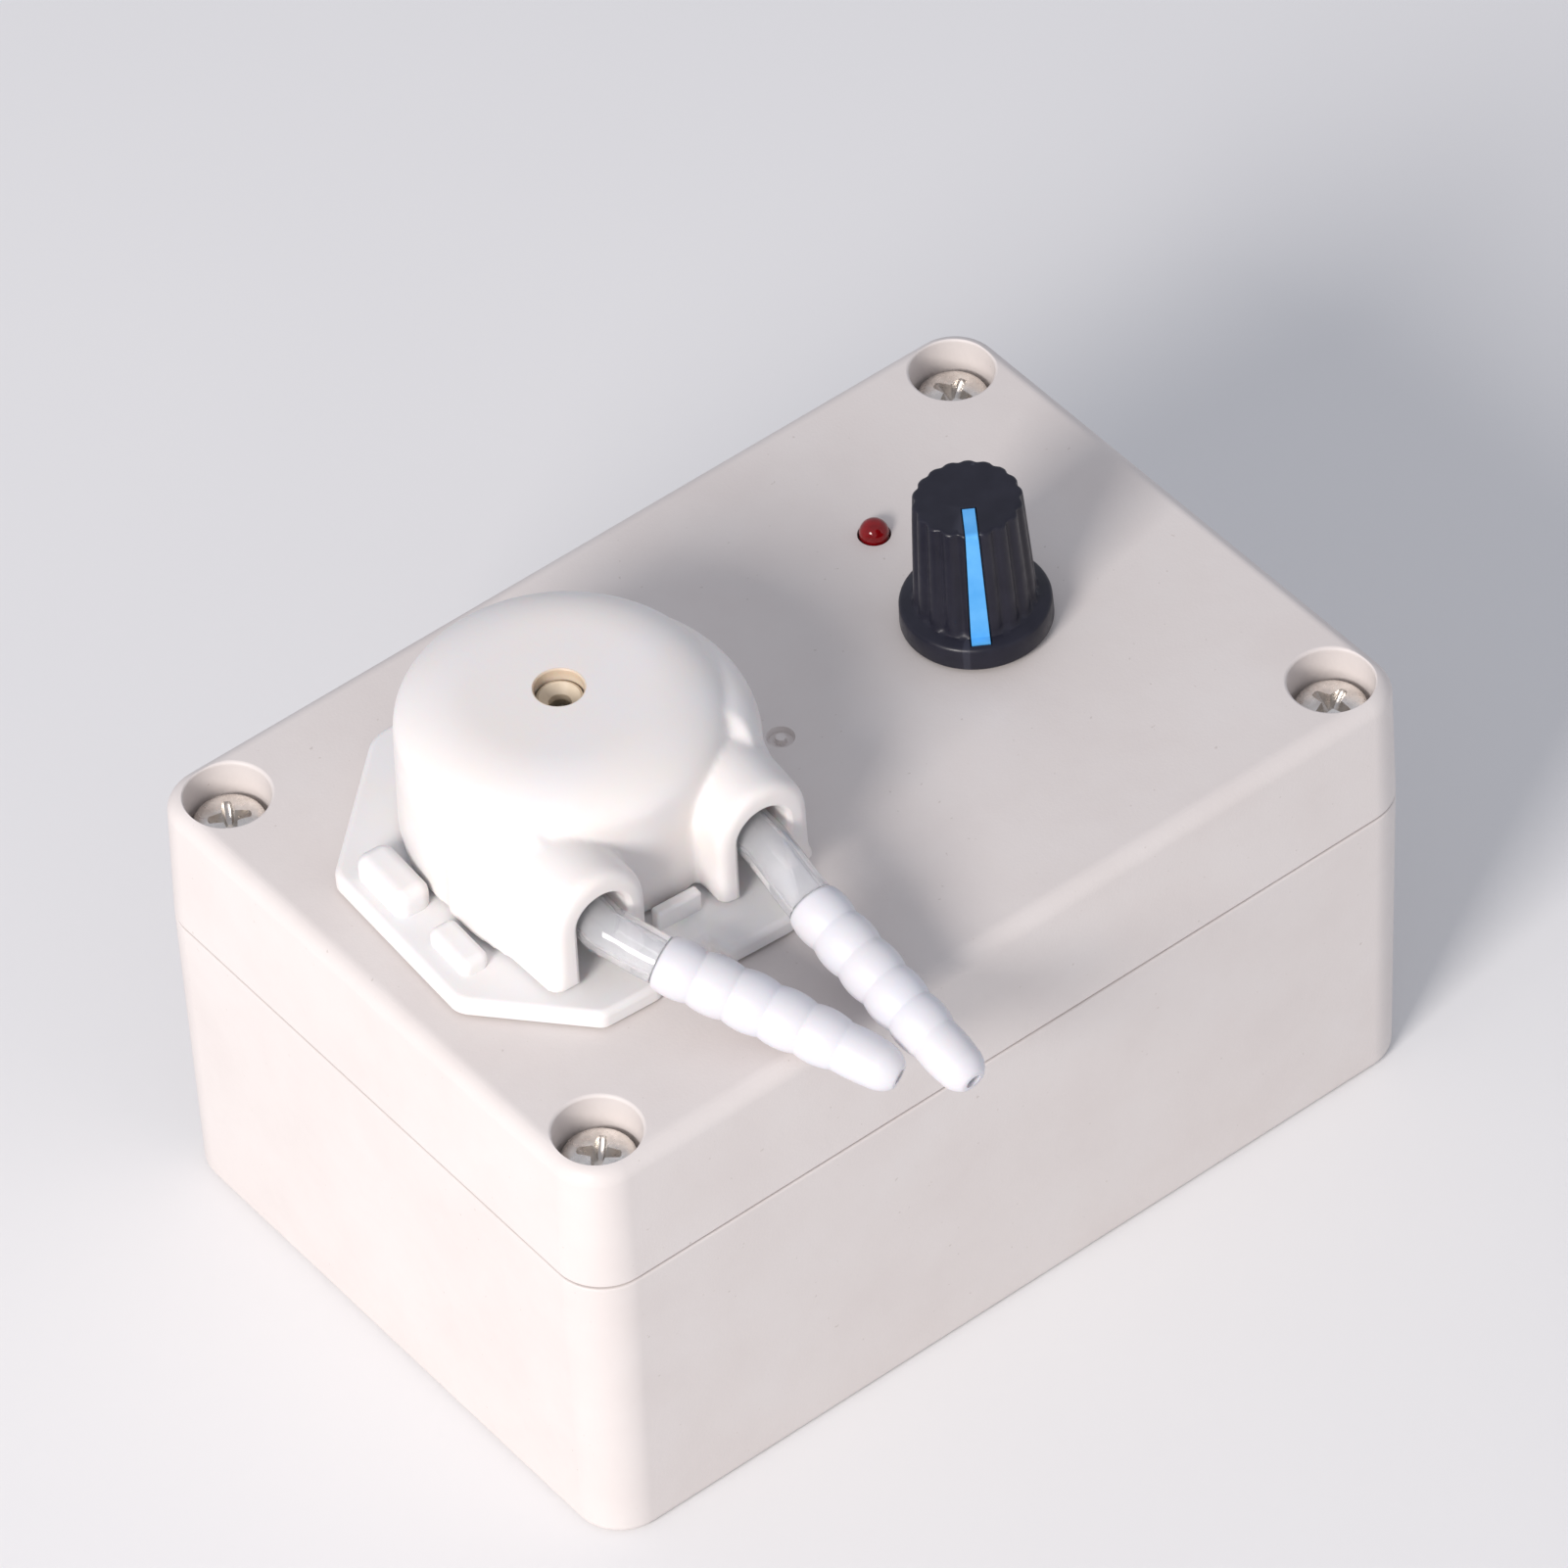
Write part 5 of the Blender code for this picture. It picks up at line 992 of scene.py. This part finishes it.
def dress_cad_pieces():
    """Materials, and smooth shading that keeps the sharp edges, for the CAD pieces that are shown as they
    are.
    """
    steel = metal("drawn_steel", (0.66, 0.65, 0.63), (0.42, 0.41, 0.40), 0.28, (1.0, 1.0, 0.12))
    can = metal("motor_zinc", (0.62, 0.62, 0.60), (0.44, 0.44, 0.43), 0.32, (0.12, 0.12, 1.0))
    brass = metal("stamped_brass", (0.78, 0.60, 0.28), (0.52, 0.38, 0.16), 0.28)
    plated = metal("plated_brass", (0.78, 0.75, 0.68), (0.52, 0.49, 0.42), 0.26)
    turned_alu = metal("turned_aluminium", (0.78, 0.78, 0.79), (0.55, 0.55, 0.56), 0.30, (1.0, 1.0, 0.1))
    cream = moulded("cage_cream", (0.60, 0.51, 0.385), (0.69, 0.60, 0.47), 0.42)
    roller = moulded("roller_white", (0.80, 0.79, 0.75), (0.86, 0.85, 0.81), 0.30)
    black = moulded("black_moulding", (0.014, 0.014, 0.015), (0.026, 0.026, 0.028), 0.48)
    rubber = moulded("black_rubber", (0.020, 0.019, 0.018), (0.034, 0.033, 0.032), 0.75, 0.012 * MM)
    sleeve = moulded("dark_sleeve", (0.085, 0.085, 0.088), (0.125, 0.125, 0.130), 0.62)
    red = moulded("red_insulation", (0.42, 0.012, 0.012), (0.55, 0.022, 0.020), 0.40)
    blue_black = moulded("shrink_sleeve", (0.012, 0.012, 0.045), (0.022, 0.022, 0.070), 0.30)
    green = moulded("terminal_green", (0.030, 0.190, 0.065), (0.045, 0.240, 0.090), 0.42)
    board = board_green()
    looks = {
        "lid_gasket": rubber, "cage_lower": cream, "cage_upper": cream, "drive_sleeve": sleeve,
        "motor_shaft": steel, "motor_can": can, "motor_end_cap": black, "motor_tab": brass,
        "motor_screw": steel, "motor_wire_red": red, "motor_wire_black": black, "supply_wire_red": red,
        "supply_wire_black": black, "roller_pin": steel, "roller": roller, "pot_body": can,
        "pot_shaft": turned_alu, "pot_nut": plated, "pot_washer": plated, "pot_pin": steel,
        "lamp_lead": steel, "circuit_board": board, "capacitor": blue_black, "transistor_tab": steel,
        "transistor": black, "terminal_block": green, "terminal_screw": steel, "jack_pin": plated,
        "jack_nut": plated,
    }
    group = smooth_edges()
    for name, node in frame["nodes"].items():
        if node.hide_render:
            continue
        key = max((k for k in looks if name.startswith(k)), key=len)
        node.data.materials.clear()
        node.data.materials.append(looks[key])
        node.modifiers.new("shading", "NODES").node_group = group


# ---- stage ------------------------------------------------------------------
def make_stage():
    """Pale floor, soft room light and two soft area lamps."""
    half = 4.0
    corners = [Vector((-half, -half, 0.0)), Vector((half, -half, 0.0)), Vector((half, half, 0.0)),
               Vector((-half, half, 0.0))]
    sheet = bpy.data.meshes.new("floor")
    sheet.from_pydata(corners, [], [(0, 1, 2, 3)])
    floor = bpy.data.objects.new("floor", sheet)
    floor.location.z = -0.02 * MM
    bpy.context.scene.collection.objects.link(floor)
    look = Look("floor_paper", (0.80, 0.80, 0.80), 0.85)
    look.tones(180 * MM, ((0.35, (0.79, 0.79, 0.795)), (0.65, (0.81, 0.81, 0.81))))
    sheet.materials.append(look.sheen(60 * MM, 0.80, 0.90).done())

    world = bpy.data.worlds.new("soft_room")
    world.use_nodes = True
    world.node_tree.nodes["Background"].inputs["Color"].default_value = (0.89, 0.91, 1.0, 1.0)
    world.node_tree.nodes["Background"].inputs["Strength"].default_value = 0.57
    bpy.context.scene.world = world
    for name, where, size, power, colour in (
            ("key", (-1.05, -0.40, 0.66), 0.42, 15.0, (1.0, 0.945, 0.915)),
            ("front_fill", (0.35, -1.3, 0.45), 0.9, 0.8, (1.0, 0.98, 0.96))):
        light = bpy.data.lights.new(name, "AREA")
        light.shape = "SQUARE"
        light.size = size
        light.energy = power
        light.color = colour
        lamp = bpy.data.objects.new(name, light)
        lamp.location = where
        lamp.rotation_mode = "QUATERNION"
        lamp.rotation_quaternion = (Vector((0.0, 0.0, 0.03)) - Vector(where)).to_track_quat("-Z", "Y")
        bpy.context.scene.collection.objects.link(lamp)


def make_camera():
    """Long lens from the front left, looking down at the pump."""
    back = Vector((math.sin(AZIMUTH) * math.cos(ELEVATION), -math.cos(AZIMUTH) * math.cos(ELEVATION),
                   math.sin(ELEVATION)))
    right = Vector((math.cos(AZIMUTH), math.sin(AZIMUTH), 0.0))
    up = back.cross(right)
    camera_x = right * math.cos(ROLL) + up * math.sin(ROLL)
    camera_y = -right * math.sin(ROLL) + up * math.cos(ROLL)
    place = Vector((0.0, 0.0, AIM_Z)) + camera_x * SIDEWAYS + camera_y * UPWARDS + back * DISTANCE
    turn = Matrix((camera_x, camera_y, back)).transposed()
    data = bpy.data.cameras.new("camera")
    data.sensor_width = SENSOR
    data.lens = LENS
    data.clip_start = 0.01
    data.clip_end = 20.0
    camera = bpy.data.objects.new("camera", data)
    camera.matrix_world = Matrix.Translation(place * MM) @ turn.to_4x4()
    bpy.context.scene.collection.objects.link(camera)
    bpy.context.scene.camera = camera


make_base()
make_lid()
make_lid_screws()
make_head_plate()
make_head_cap()
make_hose()
for side, hose_stub in (("left", LEFT), ("right", RIGHT)):
    connector_white = white_plastic(f"{side}_connector_white", (0.71, 0.71, 0.75), 0.36, 0.003 * MM).done()
    make_connector(f"hose_connector_{side}", hose_stub, connector_white, f"connector_{side}")
make_knob()
make_lamp()
make_inlet()
dress_cad_pieces()
make_stage()
make_camera()
bpy.context.scene.view_settings.view_transform = "Standard"
